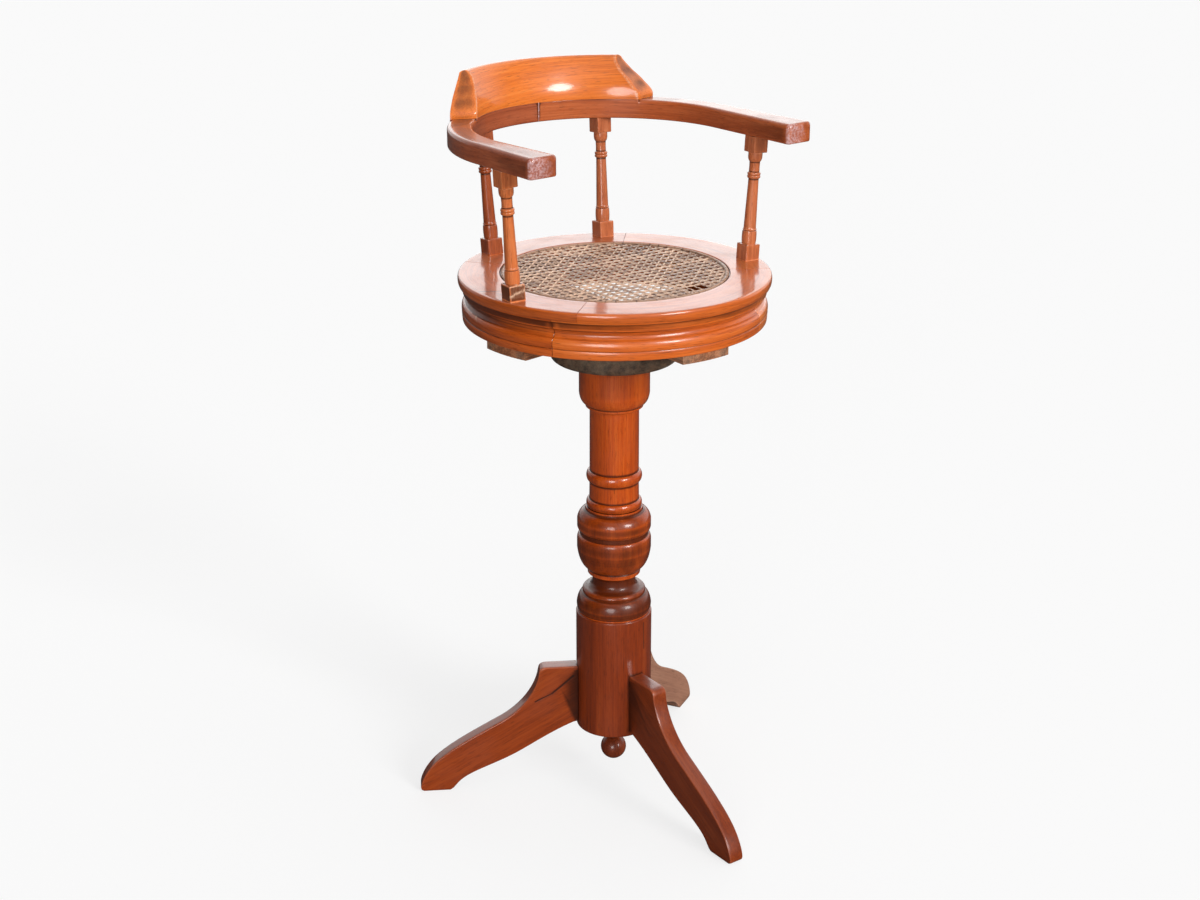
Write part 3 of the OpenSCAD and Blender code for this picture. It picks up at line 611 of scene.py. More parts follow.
def column_darkening(places):
    """Extra darkening on the column: over the capital, and below the shaft, a little more towards the bottom.
    """
    share = (places[:, 2] - COLUMN_LOW) / COLUMN_H
    low = 0.07 + 0.014 * np.clip((0.2 - share) / 0.1, 0, 1)
    return 0.044 / (1 + np.exp((0.82 - share) / 0.004)) + low / (1 + np.exp((share - 0.46) / 0.012))


column_top = COLUMN_LOW + COLUMN_H
column_outline = [(0, COLUMN_LOW)] + turned(COLUMN_STATIONS, COLUMN_R, COLUMN_H, COLUMN_LOW)
column_outline += [(BUSH_SEAT_R, column_top), (BUSH_SEAT_R, column_top - BUSH_D)]
column_outline += [(BORE_R, column_top - BUSH_D), (BORE_R, column_top - BORE_D), (0, column_top - BORE_D)]
polished("column", "base", "column_wood", ((122, 40, 4), (184, 72, 8), (216, 104, 32)),
         [lathe(column_outline)], UPRIGHT, 1.3, extra=column_darkening, dirt=1.1, wear=0.6, streaks=0.8)

# Swivel: a turned iron spindle with a round flange runs in a brass bush and on a brass washer; its wood
# screws, and those of the boards and the crest, are dark steel.


def metal(name, colour, tarnish, rough, bare):
    """Old metal with duller, browner patches; bare is how metallic it is."""
    material, _, spot = new_material(name)
    cloud = noise(spot, (160, 160, 160), 5.0, 0.5)
    patch = ramp(cloud, 0.42, 0.62)
    return finish(material, {
        "Base Color": blend(patch, colour, tarnish), "Metallic": bare,
        "Roughness": plus(times(patch, 0.25), rough), "Normal": relief(cloud, 0.00008, 0.4)})


def paint(node, material):
    """Gives a CAD node its material."""
    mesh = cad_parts[node].data
    mesh.materials.clear()
    mesh.materials.append(material)


iron = metal("old_iron", srgb(96, 90, 84), srgb(70, 52, 42), 0.38, 0.9)
brass = metal("dull_brass", srgb(188, 158, 96), srgb(122, 98, 60), 0.32, 1.0)
for node in ("pivot_spindle", "flange_screws", "block_screws", "board_screws", "crest_screws"):
    paint(node, iron)
for node in ("pivot_bush", "thrust_washer"):
    paint(node, brass)

# Block and boards: a thick round block, roughly turned, and two sawn boards halved across each other,
# screwed up to the seat. They were never polished and have gone dark and dusty.
LONG_BOARD_ANGLE = 11.6
SHORT_BOARD_ANGLE = 92.6
BLOCK_GRAIN_ANGLE = 40.0


def unpolished(name, deep, pale, angle):
    """Bare old wood: dull, with open grain, dust and saw marks. angle is the run of its grain in plan."""
    material, tree, spot = new_material(name)
    turned_back = (0, 0, math.radians(-angle))
    spot = add(tree, "ShaderNodeMapping", {"Vector": spot, "Rotation": turned_back}).outputs[0]
    bands = noise(spot, (8, 110, 110), 5.0, 0.6)
    fine = noise(spot, (40, 700, 700), 3.0, 0.6)
    dust = noise(spot, (30, 30, 30), 5.0, 0.65)
    colour = blend(ramp(plus(times(bands, 0.55), times(fine, 0.45)), 0.36, 0.64), srgb(*deep), srgb(*pale))
    colour = blend(times(ramp(dust, 0.46, 0.72), 0.35), colour, srgb(150, 134, 112))
    return finish(material, {
        "Base Color": colour, "Roughness": ramp(dust, 0.3, 0.7, 0.55, 0.8),
        "Normal": relief(plus(times(fine, 0.6), times(bands, 0.5)), 0.0005, 0.7)})


paint("swivel_block", unpolished("block_wood", (52, 38, 27), (106, 80, 58), BLOCK_GRAIN_ANGLE))
paint("cross_board_long", unpolished("long_board_wood", (96, 54, 30), (184, 112, 68), LONG_BOARD_ANGLE))
paint("cross_board_short", unpolished("short_board_wood", (96, 56, 34), (184, 120, 80), SHORT_BOARD_ANGLE))

# Apron: four curved mahogany segments glued end to end, turned on the outside with a fillet, a cove and a
# round, and french polished bright.
SEAT_R = 200.0
APRON_IN_R = 157.0
APRON_LOW = 693.0
APRON_H = 48.0
APRON_FILLET = 0.755
MOULDING_D = 8.5
APRON_STATIONS = (
    (0.14, 0.00, 0), (0.09, 0.03, 0.8), (0.02, 0.21, 0), (0.09, 0.23, 0), (0.00, 0.31, 0.7),
    (0.00, 0.36, 0), (0.36, 0.50, 0.6), (0.90, 0.62, -0.6), (0.44, 0.75, -0.75), (0.22, 0.76, 0),
    (-0.30, 0.97, -0.7), (-0.35, 1.00, 0),
)
APRON_FIRST_ANGLE = -146.0
APRON_DARK_ANGLE = -125.0
APRON_KNOCK = ((-194.4, 35.4, 727), (-197.2, 14.6, 712), 2.5)
SEAM = 0.2
JOINT_CHAMFER = 0.45
RING_STEP_ANGLE = 1.5
GRAIN_R = 190.0


def ring_grain(middle_y=0.0, slant=0.0):
    """Places in a piece whose grain follows a round about x 0, y middle_y; slant tips it by a share."""
    def wood(places):
        x, y = places[:, 0], places[:, 1] - middle_y
        run = np.unwrap(np.arctan2(x, -y)) * GRAIN_R
        return np.stack([np.hypot(x, y), run, places[:, 2] + slant * run], 1)
    return wood


def flipped(faces):
    """Faces that look the other way."""
    return [tuple(reversed(f)) for f in faces]


def swept(outline, start, end):
    """A closed outline of radius and height swept round between two angles, its end edges softened."""
    seam_angle = math.degrees(math.asin(SEAM / 2 / SEAT_R))
    soft_angle = math.degrees(JOINT_CHAMFER / SEAT_R)
    a0, a1 = start + seam_angle, end - seam_angle
    angles = np.linspace(a0 + soft_angle, a1 - soft_angle, max(3, round((a1 - a0) / RING_STEP_ANGLE)))
    small = inset(outline, JOINT_CHAMFER)
    rings = []
    for angle, ring in [(a0, small)] + [(a, outline) for a in angles] + [(a1, small)]:
        rings.append(np.column_stack([np.outer(ring[:, 0], heading(angle)), ring[:, 1]]))
    places, faces = lofted(rings)
    return places, flipped(faces)


apron_outer = [(1 - out * MOULDING_D / SEAT_R, share, full) for out, share, full in APRON_STATIONS]
apron_outline = [(APRON_IN_R, APRON_LOW)] + turned(apron_outer, SEAT_R, APRON_H, APRON_LOW)
apron_outline = divided(apron_outline + [(APRON_IN_R, APRON_LOW + APRON_H)], 5.0, closed=True)


def apron_dirt_and_shade(places):
    """Extra darkening on the apron: dirt in a line under the seat ring, in its fillet and at the four glued
    joints; painted shade over the upper band under the seat ring's nose, and over its left side, which faces
    away from the light."""
    rise = places[:, 2] - APRON_LOW
    angles = np.degrees(np.arctan2(places[:, 1], places[:, 0]))
    gap = np.abs((angles - APRON_FIRST_ANGLE + 45.0) % 90.0 - 45.0)
    past = (APRON_DARK_ANGLE - angles) % 360.0
    lines = 0.07 * fading(np.abs(rise - APRON_H), 1.5)
    lines = lines + 0.08 * fading(np.abs(rise - APRON_FILLET * APRON_H), 1.6)
    # left is painted shade: the side that faces away from the light is darkened
    left = 0.06 * np.clip(past / 60.0, 0, 1) * (past < 150.0)
    # the 0.036 over the upper band is painted shade under the seat ring's nose
    return lines + 0.036 * (rise > 0.75 * APRON_H) + 0.16 * fading(gap, 0.3) + left


# Each segment's deep, middle and pale colours: the right segment's are paler, as painted light from the
# right, and the left and back segments' darker, as painted shade.
APRON_LIT_AND_SHADED_COLOURS = {
    "apron_front": ((142, 52, 8), (206, 96, 26), (234, 128, 54)),
    "apron_right": ((170, 74, 20), (224, 118, 48), (240, 142, 72)),
    "apron_back": ((132, 48, 8), (186, 80, 20), (212, 108, 40)),
    "apron_left": ((136, 50, 8), (194, 86, 22), (220, 112, 42)),
}
for number, (name, colours) in enumerate(APRON_LIT_AND_SHADED_COLOURS.items()):
    start = APRON_FIRST_ANGLE + 90 * number
    scratches = (APRON_KNOCK,) if name == "apron_left" else ()
    polished(name, "seat", "seat_wood", colours, [swept(apron_outline, start, start + 90)],
             ring_grain(slant=0.02), 2.0 + number * 0.31, extra=apron_dirt_and_shade, wear=0.5, scratches=scratches,
             film=0.2)

# Seat ring: four flat curved segments glued on top of the apron, their joints at other places, with a
# rounded outer edge and a rabbet for the cane; polished, and dulled where people sit.
SEAT_LOW = 741.0
SEAT_TOP = 753.0
CANE_R = 150.0
CANE_Z = 750.0
RABBET_W = 8.0
SEAT_LIP = 3.0
SEAT_NOSE = 4.5
SEAT_EDGE_R = 2.5
SEAT_INNER_R = 1.6
SEAT_JOINTS = (-136.5, -30.1, 52.0, 134.5)
SEAT_CRACK = ((-198.0, 8.0, SEAT_TOP), (-176.0, -4.0, SEAT_TOP), 1.6)
nose = (SEAT_R + SEAT_NOSE, SEAT_LOW + 0.58 * (SEAT_TOP - SEAT_LOW))
seat_outline = [(CANE_R - RABBET_W, SEAT_LOW), (SEAT_R + SEAT_LIP, SEAT_LOW)]
seat_outline += bend((SEAT_R + SEAT_LIP, SEAT_LOW), nose, 0.8)
seat_outline += bend(nose, (SEAT_R + SEAT_NOSE - SEAT_EDGE_R, SEAT_TOP), 0.8)
seat_outline += arc(CANE_R + SEAT_INNER_R, SEAT_TOP - SEAT_INNER_R, SEAT_INNER_R, 90, 180)
seat_outline = divided(seat_outline + [(CANE_R, CANE_Z), (CANE_R - RABBET_W, CANE_Z)], 4.0, closed=True)


def seat_dirt(places):
    """Extra dirt on the seat ring: in a dark line round the cane, and at its glued joints."""
    away = np.hypot(places[:, 0], places[:, 1])
    angles = np.degrees(np.arctan2(places[:, 1], places[:, 0]))
    dirt = 0.07 * fading(np.abs(away - CANE_R), 1.5) - 0.02 * (away > SEAT_R + 2)
    for joint in SEAT_JOINTS:
        dirt = dirt + 0.16 * fading(np.abs((angles - joint + 180) % 360 - 180), 0.3)
    return dirt


SEAT_COLOURS = {
    "seat_front": ((138, 58, 14), (200, 94, 28), (222, 120, 52)),
    "seat_right": ((138, 60, 20), (198, 100, 40), (220, 128, 66)),
    "seat_back": ((124, 52, 18), (182, 90, 38), (206, 116, 62)),
    "seat_left": ((130, 54, 14), (190, 88, 28), (214, 116, 52)),
}
seat_ends = SEAT_JOINTS + (SEAT_JOINTS[0] + 360,)
for number, (name, colours) in enumerate(SEAT_COLOURS.items()):
    cracks = (SEAT_CRACK,) if name == "seat_left" else ()
    polished(name, "seat", "seat_wood", colours, [swept(seat_outline, *seat_ends[number:number + 2])],
             ring_grain(slant=0.03), 4.0 + number * 0.27, extra=seat_dirt, wear=0.6, cracks=cracks, film=0.1)

# Cane: split rattan woven by hand through holes in the seat ring, in pairs along and across with a diagonal
# strand each way. It is dry and brown, and some strands at the front right are torn.
WEAVE_PITCH = 12.0
WEAVE_R = 147.5
WEAVE_Z = 751.2
WEAVE_LIFT = 0.34
PAIR_HALF = 1.45
CROSSING_HALF = PAIR_HALF + 0.5
DIAGONAL_LIFT = 0.75
STRAND_W = 2.3
STRAND_T = 0.65
STRAND_SHAPE = ((-0.5, -0.35), (0.5, -0.35), (0.5, 0.1), (0.22, 0.5), (-0.22, 0.5), (-0.5, 0.1))
CANE_SAG = 1.6
TORN_SPOT = (46, -119)
TORN_R = 15.0


def strand(line, heights):
    """A flat strand with a rounded face along points of a plan line."""
    run = np.gradient(line, axis=0)
    run /= np.linalg.norm(run, axis=1)[:, None]
    rings = []
    for (x, y), (along_x, along_y), z in zip(line, run, heights):
        rings.append(np.array([(x - along_y * u * STRAND_W, y + along_x * u * STRAND_W, z + v * STRAND_T)
                               for u, v in STRAND_SHAPE]))
    return lofted(rings)


def lay(shells, place, lift_of, marks, half, torn):
    """Adds one strand, which runs from -half to half and rises or dips at its marks; torn takes out the part
    that is gone at the torn spot."""
    stops = sorted({-half, half} | {m for m in marks if abs(m) < half - 1.0})
    if len(stops) < 3:
        return
    line = np.array([place(s) for s in stops])
    sag = CANE_SAG * np.maximum(0.0, 1 - (line ** 2).sum(1) / WEAVE_R ** 2)
    heights = WEAVE_Z + np.array([lift_of(s) for s in stops]) - sag
    gone = np.flatnonzero(np.hypot(*(line - TORN_SPOT).T) <= TORN_R)
    parts = [slice(0, gone[0]), slice(gone[-1] + 1, None)] if torn and len(gone) else [slice(None)]
    for part in parts:
        if len(line[part]) > 2:
            shells.append(strand(line[part], heights[part]))


def weave_shells():
    """All strands of the seat: pairs along and across, and diagonals."""
    shells = []
    count = int(WEAVE_R / WEAVE_PITCH)
    crossings = [j * WEAVE_PITCH + d for j in range(-count - 1, count + 2)
                 for d in (-PAIR_HALF, PAIR_HALF, WEAVE_PITCH / 2)]
    for i in range(-count, count + 1):
        for side in (-1, 1):
            offset = i * WEAVE_PITCH + side * PAIR_HALF
            if abs(offset) > WEAVE_R - 6:
                continue

            def over(s):
                near = s - round(s / WEAVE_PITCH) * WEAVE_PITCH
                if abs(near) > CROSSING_HALF:
                    return 0.0
                return WEAVE_LIFT * (1 if (near > 0) == (side > 0) else -1)

            half = math.sqrt(WEAVE_R ** 2 - offset ** 2)
            torn_along = side > 0 and abs(offset - TORN_SPOT[0]) < TORN_R * 0.75
            torn_across = abs(offset - TORN_SPOT[1]) < TORN_R * 0.6
            lay(shells, lambda s: (offset, s), over, crossings, half, torn_along)
            lay(shells, lambda s: (s, offset), lambda s: -over(s), crossings, half, torn_across)
    diagonal = WEAVE_PITCH / math.sqrt(2)
    crossings = [m * diagonal / 2 for m in range(-4 * count, 4 * count)]
    for i in range(-int(WEAVE_R / diagonal) - 1, int(WEAVE_R / diagonal) + 1):
        offset = (i + 0.5) * diagonal
        if abs(offset) > WEAVE_R - 5:
            continue
        half = math.sqrt(WEAVE_R ** 2 - offset ** 2)
        lift = DIAGONAL_LIFT * (1 if i % 2 else -1)
        for slope in (1, -1):
            lay(shells, lambda s: ((s - slope * offset) / math.sqrt(2), (slope * s + offset) / math.sqrt(2)),
                lambda s: lift * math.sin(math.pi * s / diagonal), crossings, half, True)
    return shells


def cane_material(name, deep, pale):
    """Old rattan: glossy skin with fine lines along it, browner where dirt has settled."""
    material, tree, spot = new_material(name)
    tint = add(tree, "ShaderNodeAttribute", attribute_name="tint").outputs["Fac"]
    cloud = noise(spot, (26, 26, 26), 5.0, 0.5)
    lines = noise(spot, (900, 900, 900), 2.0, 0.5)
    share = plus(plus(times(tint, 0.55), times(cloud, 0.75)), times(lines, 0.2))
    return finish(material, {
        "Base Color": blend(ramp(share, 0.35, 1.1), srgb(*deep), srgb(*pale)),
        "Roughness": ramp(cloud, 0.35, 0.65, 0.35, 0.55), "Coat Weight": 0.25, "Coat Roughness": 0.25,
        "Normal": relief(lines, 0.0001)})


def woven(name, shells, material, seed, sharp):
    """A piece of strands, with one random tone for each of them."""
    made = piece(name, "seat", material, shells, UPRIGHT, sharp=sharp)
    tones = np.random.default_rng(seed).random(len(shells))
    made.data.attributes.new("tint", "FLOAT", "POINT").data.foreach_set(
        "value", np.concatenate([np.full(len(s[0]), t) for s, t in zip(shells, tones)]))


woven("cane_panel", weave_shells(), cane_material("woven_cane", (112, 76, 54), (236, 196, 166)), 3, 80)

# Binder: one wider strand of cane laid round over the holes of the seat. It is caught down at each hole by a
# loop of fine cane, and has gone darker than the weave.
BINDER_R = 146.0
BINDER_W = 5.0
BINDER_T = 1.2
BINDER_Z = 752.4
BINDER_COUNT = 180
LOOP_COUNT = 72
LOOP_FIRST_ANGLE = 2.0
LOOP_W = 1.5
LOOP_T = 0.45
LOOP_IN_SHARE = 0.86


def arch(half, z, high):
    """Half an oval over the line of holes, as radii and heights."""
    across, up = heading(np.linspace(0, 180, 9))
    return BINDER_R + half * across, z + high * up


binder_r, binder_z = arch(BINDER_W / 2, BINDER_Z - 0.5, BINDER_T + 0.3)
binder_shape = np.column_stack([binder_r, np.zeros(len(binder_r)), binder_z])
binder_rings = [turn(binder_shape, 360 * i / BINDER_COUNT) for i in range(BINDER_COUNT)]
places, faces = lofted(binder_rings + binder_rings[:1], closed=False)
shells = [(places, flipped(faces))]
for i in range(LOOP_COUNT):
    rings = []
    for r, z in zip(*arch(BINDER_W / 2 + 0.5, BINDER_Z - 1.0, BINDER_T + 1.05)):
        in_r, in_z = BINDER_R + (r - BINDER_R) * LOOP_IN_SHARE, z - LOOP_T
        ring = [(r, -LOOP_W / 2, z), (r, LOOP_W / 2, z), (in_r, LOOP_W / 2, in_z), (in_r, -LOOP_W / 2, in_z)]
        rings.append(turn(ring, 360 * i / LOOP_COUNT + LOOP_FIRST_ANGLE))
    shells.append(lofted(rings))
woven("cane_binder", shells, cane_material("binder_cane", (74, 48, 32), (176, 134, 106)), 5, 60)

# Spindles: four turned mahogany balusters, square at both ends, tenoned into the seat below and the arms
# above, and leaning outwards a little as they rise.
SPINDLE_W = 22.0
SPINDLE_R = 9.75
FOOT_H = 21.0
HEAD_H = 21.5
ARM_RISE = 164.0
BLOCK_EDGE_R = 1.0
SPINDLE_STATIONS = (
    (0.94, 0.000, 0), (1.00, 0.070, 0.5), (0.96, 0.142, 0.4), (0.86, 0.150, 0), (0.95, 0.162, 0.8),
    (0.84, 0.186, -0.8), (0.69, 0.715, 0), (0.90, 0.738, 0.8), (0.78, 0.752, 0.8), (0.90, 0.768, 0.8),
    (0.72, 0.786, 0.8), (0.70, 0.840, 0), (0.72, 0.898, 0), (0.79, 0.906, 0.8), (0.96, 0.950, 0.6),
    (0.96, 1.000, 0),
)
SPINDLE_PLACES = {
    "front": ((180.48, -47.01), (190.5, -47.01)),
    "back": ((88.99, 163.90), (93.23, 178.13)),
}


def square_block(low, high):
    """A square block with softened edges between two heights along the spindle."""
    middle = SPINDLE_W / 2 - BLOCK_EDGE_R
    outline = []
    for x, y, start in ((-1, -1, 180), (1, -1, 270), (1, 1, 0), (-1, 1, 90)):
        outline += arc(x * middle, y * middle, BLOCK_EDGE_R, start, start + 90, 3)
    outline = divided(outline, 1.6, closed=True)
    soft = BLOCK_EDGE_R * 0.3
    edge = ((CAP_INSET, 0.0), (BLOCK_EDGE_R, 0.0), (soft, soft), (0.0, BLOCK_EDGE_R))
    layers = [(by, low + up) for by, up in edge]
    layers += [(0.0, z) for z in np.linspace(low + 2, high - 2, 14)]
    layers += [(by, high - up) for by, up in reversed(edge)]
    return lofted([np.column_stack([inset(outline, by), np.full(len(outline), z)]) for by, z in layers])


def mirrored(places, faces):
    """The same shell on the other side of the stool."""
    return places * np.array([-1, 1, 1]), flipped(faces)


def spindle_shells(foot, head, side):
    """A spindle's two blocks and its turned length, leaning from foot to head."""
    foot, head = np.array(foot), np.array(head)
    lean = head - foot
    long = math.hypot(np.linalg.norm(lean), ARM_RISE)
    shaft = [(0, FOOT_H)] + turned(SPINDLE_STATIONS, SPINDLE_R, long - FOOT_H - HEAD_H, FOOT_H)
    shaft = lathe(shaft + [(0, long - HEAD_H)], 48, 3.0)
    up = np.array([lean[0], lean[1], ARM_RISE]) / long
    wide = np.array([1.0, 0, 0]) - up * up[0]
    wide /= np.linalg.norm(wide)
    axes = np.array([wide, np.cross(up, wide), up])
    shells = []
    for places, faces in (square_block(-1.0, FOOT_H), shaft, square_block(long - HEAD_H, long + 1.0)):
        spots = places @ axes + (foot[0], foot[1], SEAT_TOP)
        spots[:, 2] = np.clip(spots[:, 2], SEAT_TOP, SEAT_TOP + ARM_RISE)
        shells.append((spots, faces) if side > 0 else mirrored(spots, faces))
    return shells


def spindle_joint(places):
    """A pale line of old glue along the foot of a block, and dirt over both blocks."""
    rise = places[:, 2] - SEAT_TOP
    foot = rise < FOOT_H + 1
    blocks = foot | (rise > ARM_RISE - HEAD_H - 1)
    front_left = (places[:, 0] < -150) & foot
    return -0.16 * np.exp(-(rise / 0.8) ** 2) + 0.03 * blocks + 0.05 * front_left


def chipped_block(places):
    """Polish and splinters gone from the front of the front left block, most along a slant and its top."""
    rise = places[:, 2] - SEAT_TOP
    foot_x, foot_y = SPINDLE_PLACES["front"][0]
    front = (places[:, 1] < foot_y - SPINDLE_W / 2 + 2.0) & (rise < FOOT_H + 0.5)
    beside = places[:, 0] + foot_x
    slant = np.exp(-((rise - 11.0 - 0.3 * beside) / 1.8) ** 2)
    return front * np.clip(0.12 * (rise > 4.0) + 0.9 * slant + 0.7 * (rise > FOOT_H - 2.0), 0, 0.95)


SPINDLE_COLOURS = {
    "spindle_front_right": ((140, 64, 32), (196, 108, 64), (222, 142, 98)),
    "spindle_back_right": ((136, 62, 30), (188, 102, 60), (216, 136, 92)),
    "spindle_front_left": ((142, 62, 24), (204, 108, 54), (228, 142, 88)),
    "spindle_back_left": ((110, 44, 16), (160, 74, 32), (196, 106, 60)),
}
for number, (row, (foot, head)) in enumerate(SPINDLE_PLACES.items()):
    for side, hand in ((1, "right"), (-1, "left")):
        name = f"spindle_{row}_{hand}"
        bare = chipped_block if name == "spindle_front_left" else None
        polished(name, "seat", "arm_wood", SPINDLE_COLOURS[name], spindle_shells(foot, head, side), UPRIGHT,
                 6.0 + number * 0.4 + side * 0.13, extra=spindle_joint, bare=bare, dirt=1.1, wear=0.9)

# Arms: two mahogany arms sawn to a horseshoe, rounded on top and at their front ends, that meet in a butt
# joint at the middle of the back. Under the crest rail they are left square.
ARM_IN_R = 174.0
ARM_W = 33.0
ARM_LOW = 917.0
ARM_TOP = 943.0
ARM_BACK = 12.0
ARM_FRONT = -118.0
ARM_TOP_R = 5.0
ARM_UNDER_R = 2.5
ARM_HIDDEN_R = 0.7
ARM_END_W = 42.0
ARM_END_R = 6.5
ARM_END_TOP_R = 4.5
ARM_END_UNDER_R = 2.0
ARM_LEAN_ANGLE = 6.0
ARM_MIDDLE_R = ARM_IN_R + ARM_W / 2
CREST_END_ANGLE = 20.0
CREST_END_OFF = 82.0


def on_round(radius, angle):
    """A place in plan on a circle about the middle of the arms' round."""
    return np.array([0.0, ARM_BACK]) + radius * heading(angle)


def crest_meets(radius, off=CREST_END_OFF):
    """The angle round the back at which the crest's sawn end crosses that radius."""
    ahead = off - ARM_BACK * math.cos(math.radians(CREST_END_ANGLE))
    return CREST_END_ANGLE + math.degrees(math.asin(ahead / radius))


def arm_section(half, low, high, top_in, top_out):
    """An arm's closed section across its run: offset from its centre line and height."""
    points = arc(-half + ARM_UNDER_R, low + ARM_UNDER_R, ARM_UNDER_R, 180, 270, 7)
    points += arc(half - ARM_UNDER_R, low + ARM_UNDER_R, ARM_UNDER_R, 270, 360, 7)
    points += arc(half - top_out, high - top_out, top_out, 0, 90, 7)
    points += arc(-half + top_in, high - top_in, top_in, 90, 180, 7)
    result = []
    for i, p in enumerate(points):
        result.append(p)
        if i % 8 == 7:
            q = points[(i + 1) % len(points)]
            result += [p + (q - p) * t for t in (0.15, 0.5, 0.85)]
    return np.array(result)


def rounded(back, radius):
    """How much a rounded end has lost at a distance back from its tip."""
    return radius - math.sqrt(max(radius ** 2 - max(radius - back, 0) ** 2, 0))


def arm_shell(side):
    """One arm: straight from its rounded front end, then round the back to the middle joint."""
    splay = ARM_LEAN_ANGLE * side
    c, s = heading(splay)
    forward = np.array([s, -c])
    root = on_round(ARM_MIDDLE_R, splay)
    long = (root[1] - ARM_FRONT) / c
    stations = []
    for t in np.linspace(0, 1, 9):
        back = ARM_END_R * (1 - math.cos(t * math.pi / 2))
        half = ARM_END_W / 2 - rounded(back, ARM_END_R)
        stations.append((root + forward * (long - back), splay, half, rounded(back, ARM_END_UNDER_R),
                         rounded(back, ARM_END_TOP_R), ARM_TOP_R, ARM_TOP_R))
    for ahead in np.linspace(long - ARM_END_R, 0, 26)[1:-1]:
        half = (ARM_W + (ARM_END_W - ARM_W) * ahead / long) / 2
        stations.append((root + forward * ahead, splay, half, 0.0, 0.0, ARM_TOP_R, ARM_TOP_R))
    last = 90 - math.degrees(math.asin(SEAM / 2 / SEAT_R))
    inner_from, outer_from = crest_meets(ARM_IN_R), crest_meets(ARM_IN_R + ARM_W)
    angles = list(np.linspace(splay, last, 62)) + [last - 0.12, last - 0.24]
    angles += [inner_from - 0.15, inner_from + 0.15, outer_from - 0.15, outer_from + 0.15]
    for angle in sorted(angles):
        top_in = ARM_TOP_R if angle < inner_from else ARM_HIDDEN_R
        top_out = ARM_TOP_R if angle < outer_from else ARM_HIDDEN_R
        stations.append((on_round(ARM_MIDDLE_R, angle), angle, ARM_W / 2, 0.0, 0.0, top_in, top_out))
    rings = []
    for centre, angle, half, lift, drop, top_in, top_out in stations:
        section = arm_section(half, ARM_LOW + lift, ARM_TOP - drop, top_in, top_out)
        rings.append(np.column_stack([centre + np.outer(section[:, 0], heading(angle)), section[:, 1]]))
    places, faces = lofted(rings)
    shell = places, flipped(faces)
    return shell if side > 0 else mirrored(*shell)


def arm_grain(places):
    """Places in an arm's wood: its grain runs straight in front and follows the round behind."""
    wood = ring_grain(ARM_BACK)(places)
    ahead = places[:, 1] < ARM_BACK
    x, y = places[ahead, 0], places[ahead, 1]
    wood[ahead, 0] = np.abs(x)
    wood[ahead, 1] = np.sign(x) * (GRAIN_R * math.pi / 2 - (ARM_BACK - y))
    return wood


def arm_ends(places):
    """Where an arm's wood shows pale: the end grain of its front end and the arris round it, where the polish
    has gone, and a line at the middle joint."""
    x, y, _ = places.T
    along = ARM_BACK - y + (np.sign(x) * ARM_MIDDLE_R - x) * math.tan(math.radians(ARM_LEAN_ANGLE))
    behind = along[y < 0].max() - along
    front = (0.5 * (behind < 1.2) + 0.75 * np.exp(-((behind - 2.4) / 1.2) ** 2)) * (y < 0)
    return np.maximum(front, 0.9 * (np.abs(x) < 0.6) * (y > 0))


def arm_joint_and_shade(places):
    """Dirt at the middle joint and along the foot of the crest rail, and painted shade growing towards the
    front ends of both arms, where the right arm's inner side faces away from the light.
    """
    x, y, z = places.T
    joint = 0.10 * np.exp(-np.abs(np.abs(x) - 1.0) / 1.2) * (y > 0)
    # the last term is painted shade, darker towards the front ends
    return joint + 0.06 * ((y > 100) & (z > ARM_TOP - 3)) + 0.05 * np.clip((30.0 - y) / 90.0, 0, 1)


ARM_COLOURS = {
    "arm_right": ((112, 46, 16), (174, 84, 40), (206, 116, 66)),
    "arm_left": ((102, 42, 20), (160, 78, 44), (192, 106, 66)),
}
ARM_SCRATCHES = {
    "arm_right": (((181, -92, ARM_TOP), (199, -98, ARM_TOP), 0.9),
                  ((183, -60, ARM_TOP), (196, -52, ARM_TOP), 0.7),
                  ((186, -24, ARM_TOP), (201, -30, ARM_TOP), 0.8),
                  ((178, 8, ARM_TOP), (192, 2, ARM_TOP), 0.7)),
    "arm_left": (((-186, -70, ARM_TOP), (-197, -76, ARM_TOP), 0.7),),
}
for side, name in ((1, "arm_right"), (-1, "arm_left")):
    polished(name, "seat", "arm_wood", ARM_COLOURS[name], [arm_shell(side)], arm_grain, 8.0 + side * 0.2,
             extra=arm_joint_and_shade, bare=arm_ends, wear=1.1, scratches=ARM_SCRATCHES[name],
             broken_colour=srgb(216, 184, 186))

# Crest rail: one piece of mahogany sawn to the arms' curve, hollowed in front and rounded over at the top,
# its ends cut to an ogee; glued and screwed on top of the arms and polished bright.
CREST_H = 56.0
CREST_END_W = 41.6
CREST_SECTION = (
    ((0.00, 0.00), (0.00, 0.16), (0.05, 0.29), (0.18, 0.45)),
    ((0.18, 0.45), (0.31, 0.61), (0.46, 0.83), (0.67, 0.95)),
    ((0.67, 0.95), (0.76, 1.00), (0.88, 1.02), (1.00, 0.95)),
)
CREST_END = (
    ((0.00, 0.09), (0.03, 0.20), (0.17, 0.27), (0.30, 0.385)),
    ((0.30, 0.385), (0.43, 0.50), (0.55, 0.56), (0.66, 0.65)),
    ((0.66, 0.65), (0.80, 0.78), (0.93, 0.86), (1.02, 1.05)),
)
CREST_LIFT = 0.15
CREST_ARRIS_R = 1.3
CREST_LAYERS = 34
CREST_SIDE_COUNT = 45
CREST_WIDTH_COUNT = 7

crest_front = [(0.0, 0.0)]
for run in CREST_SECTION:
    crest_front += cubic(run, ARM_W, CREST_H, 24)
crest_front = np.array(crest_front)
crest_end = [(0.0, 0.0)]
for run in CREST_END:
    crest_end += [(run[0][0] * CREST_END_W, run[0][1] * CREST_H)] + cubic(run, CREST_END_W, CREST_H, 24)
crest_end = np.array(crest_end)


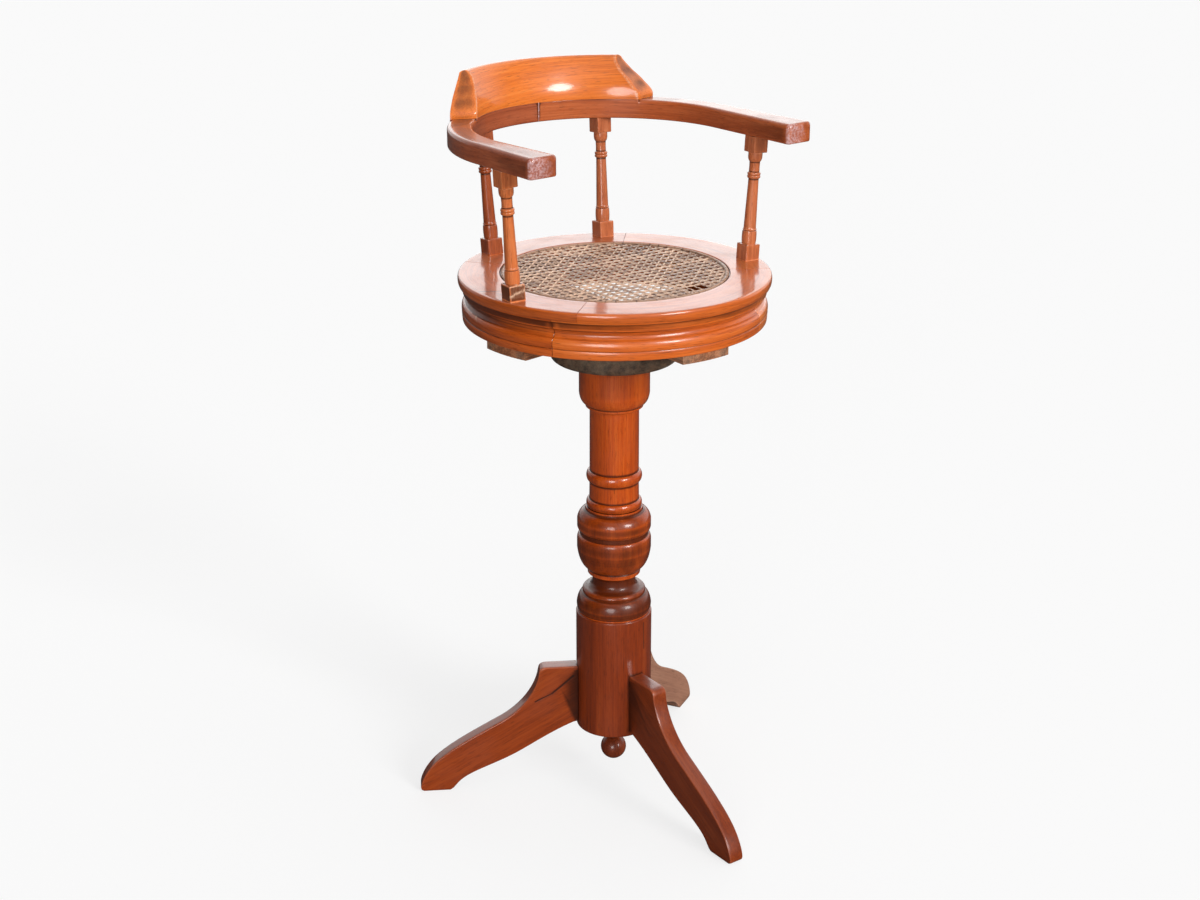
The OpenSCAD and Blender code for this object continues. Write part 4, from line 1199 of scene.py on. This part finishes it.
def crest_shell():
    """The rail as level slices between its front and back curves, cut off at both ends."""
    peak = int(np.argmax(crest_front[:, 1]))
    peak_z = crest_front[peak, 1]
    back = crest_front[peak:][::-1]
    along = heading(CREST_END_ANGLE)
    rings = []
    for t in np.linspace(0, 1, CREST_LAYERS):
        z = min(max(peak_z * math.sin(t * math.pi / 2), CREST_LIFT), peak_z - 0.02)
        inner = ARM_IN_R + np.interp(z, crest_front[:peak + 1, 1], crest_front[:peak + 1, 0])
        outer = ARM_IN_R + np.interp(z, back[:, 1], back[:, 0], left=ARM_W)
        off = CREST_END_OFF + np.interp(z, crest_end[:, 1], crest_end[:, 0])
        soft = along * min(CREST_ARRIS_R, (outer - inner) * 0.3)
        sides, corners = [], []
        for radius, step in ((inner, soft), (outer, -soft)):
            meets = crest_meets(radius, off)
            stop = meets + math.degrees(np.linalg.norm(soft) / radius)
            side = [on_round(radius, angle) for angle in np.linspace(90, stop, CREST_SIDE_COUNT)]
            corner = on_round(radius, meets)
            sides.append(side + [corner + (side[-1] - corner) * 0.25 + step * 0.25])
            corners.append(corner + step)
        cut = list(np.linspace(corners[0], corners[1], CREST_WIDTH_COUNT))
        half = sides[0] + cut + sides[1][::-1]
        ring = half + [p * (-1, 1) for p in half[-2:0:-1]]
        rings.append(np.column_stack([ring, np.full(len(ring), ARM_TOP + z)]))
    return lofted(rings)


def crest_inside(places):
    """How far a place is from the rail's sawn ends."""
    x, y, z = places.T
    c, s = heading(CREST_END_ANGLE)
    return y * c - np.abs(x) * s - CREST_END_OFF - np.interp(z - ARM_TOP, crest_end[:, 1], crest_end[:, 0])


def crest_joint_and_end_shade(places):
    """Dirt along the joint between the crest rail and the arms, and painted shade on its sawn ends and
    growing towards them.
    """
    inside = crest_inside(places)
    # ends is painted shade: the sawn ends and the wood near them are darkened
    ends = 0.058 * (inside < 0.4) + 0.036 * fading(inside, 16.0) * (inside > 0.4)
    return ends + 0.10 * fading(places[:, 2] - ARM_TOP, 1.6)


def crest_arris(places):
    """Bare wood along the arrises of the sawn ends, where sleeves and hands have rubbed."""
    inside = crest_inside(places)
    return 0.45 * (inside > 0.15) * (inside < CREST_ARRIS_R)


polished("crest_rail", "seat", "arm_wood", ((166, 70, 14), (218, 112, 34), (236, 138, 60)), [crest_shell()],
         ring_grain(ARM_BACK, 0.04), 9.7, extra=crest_joint_and_end_shade, bare=crest_arris, sharp=50, wear=0.6)
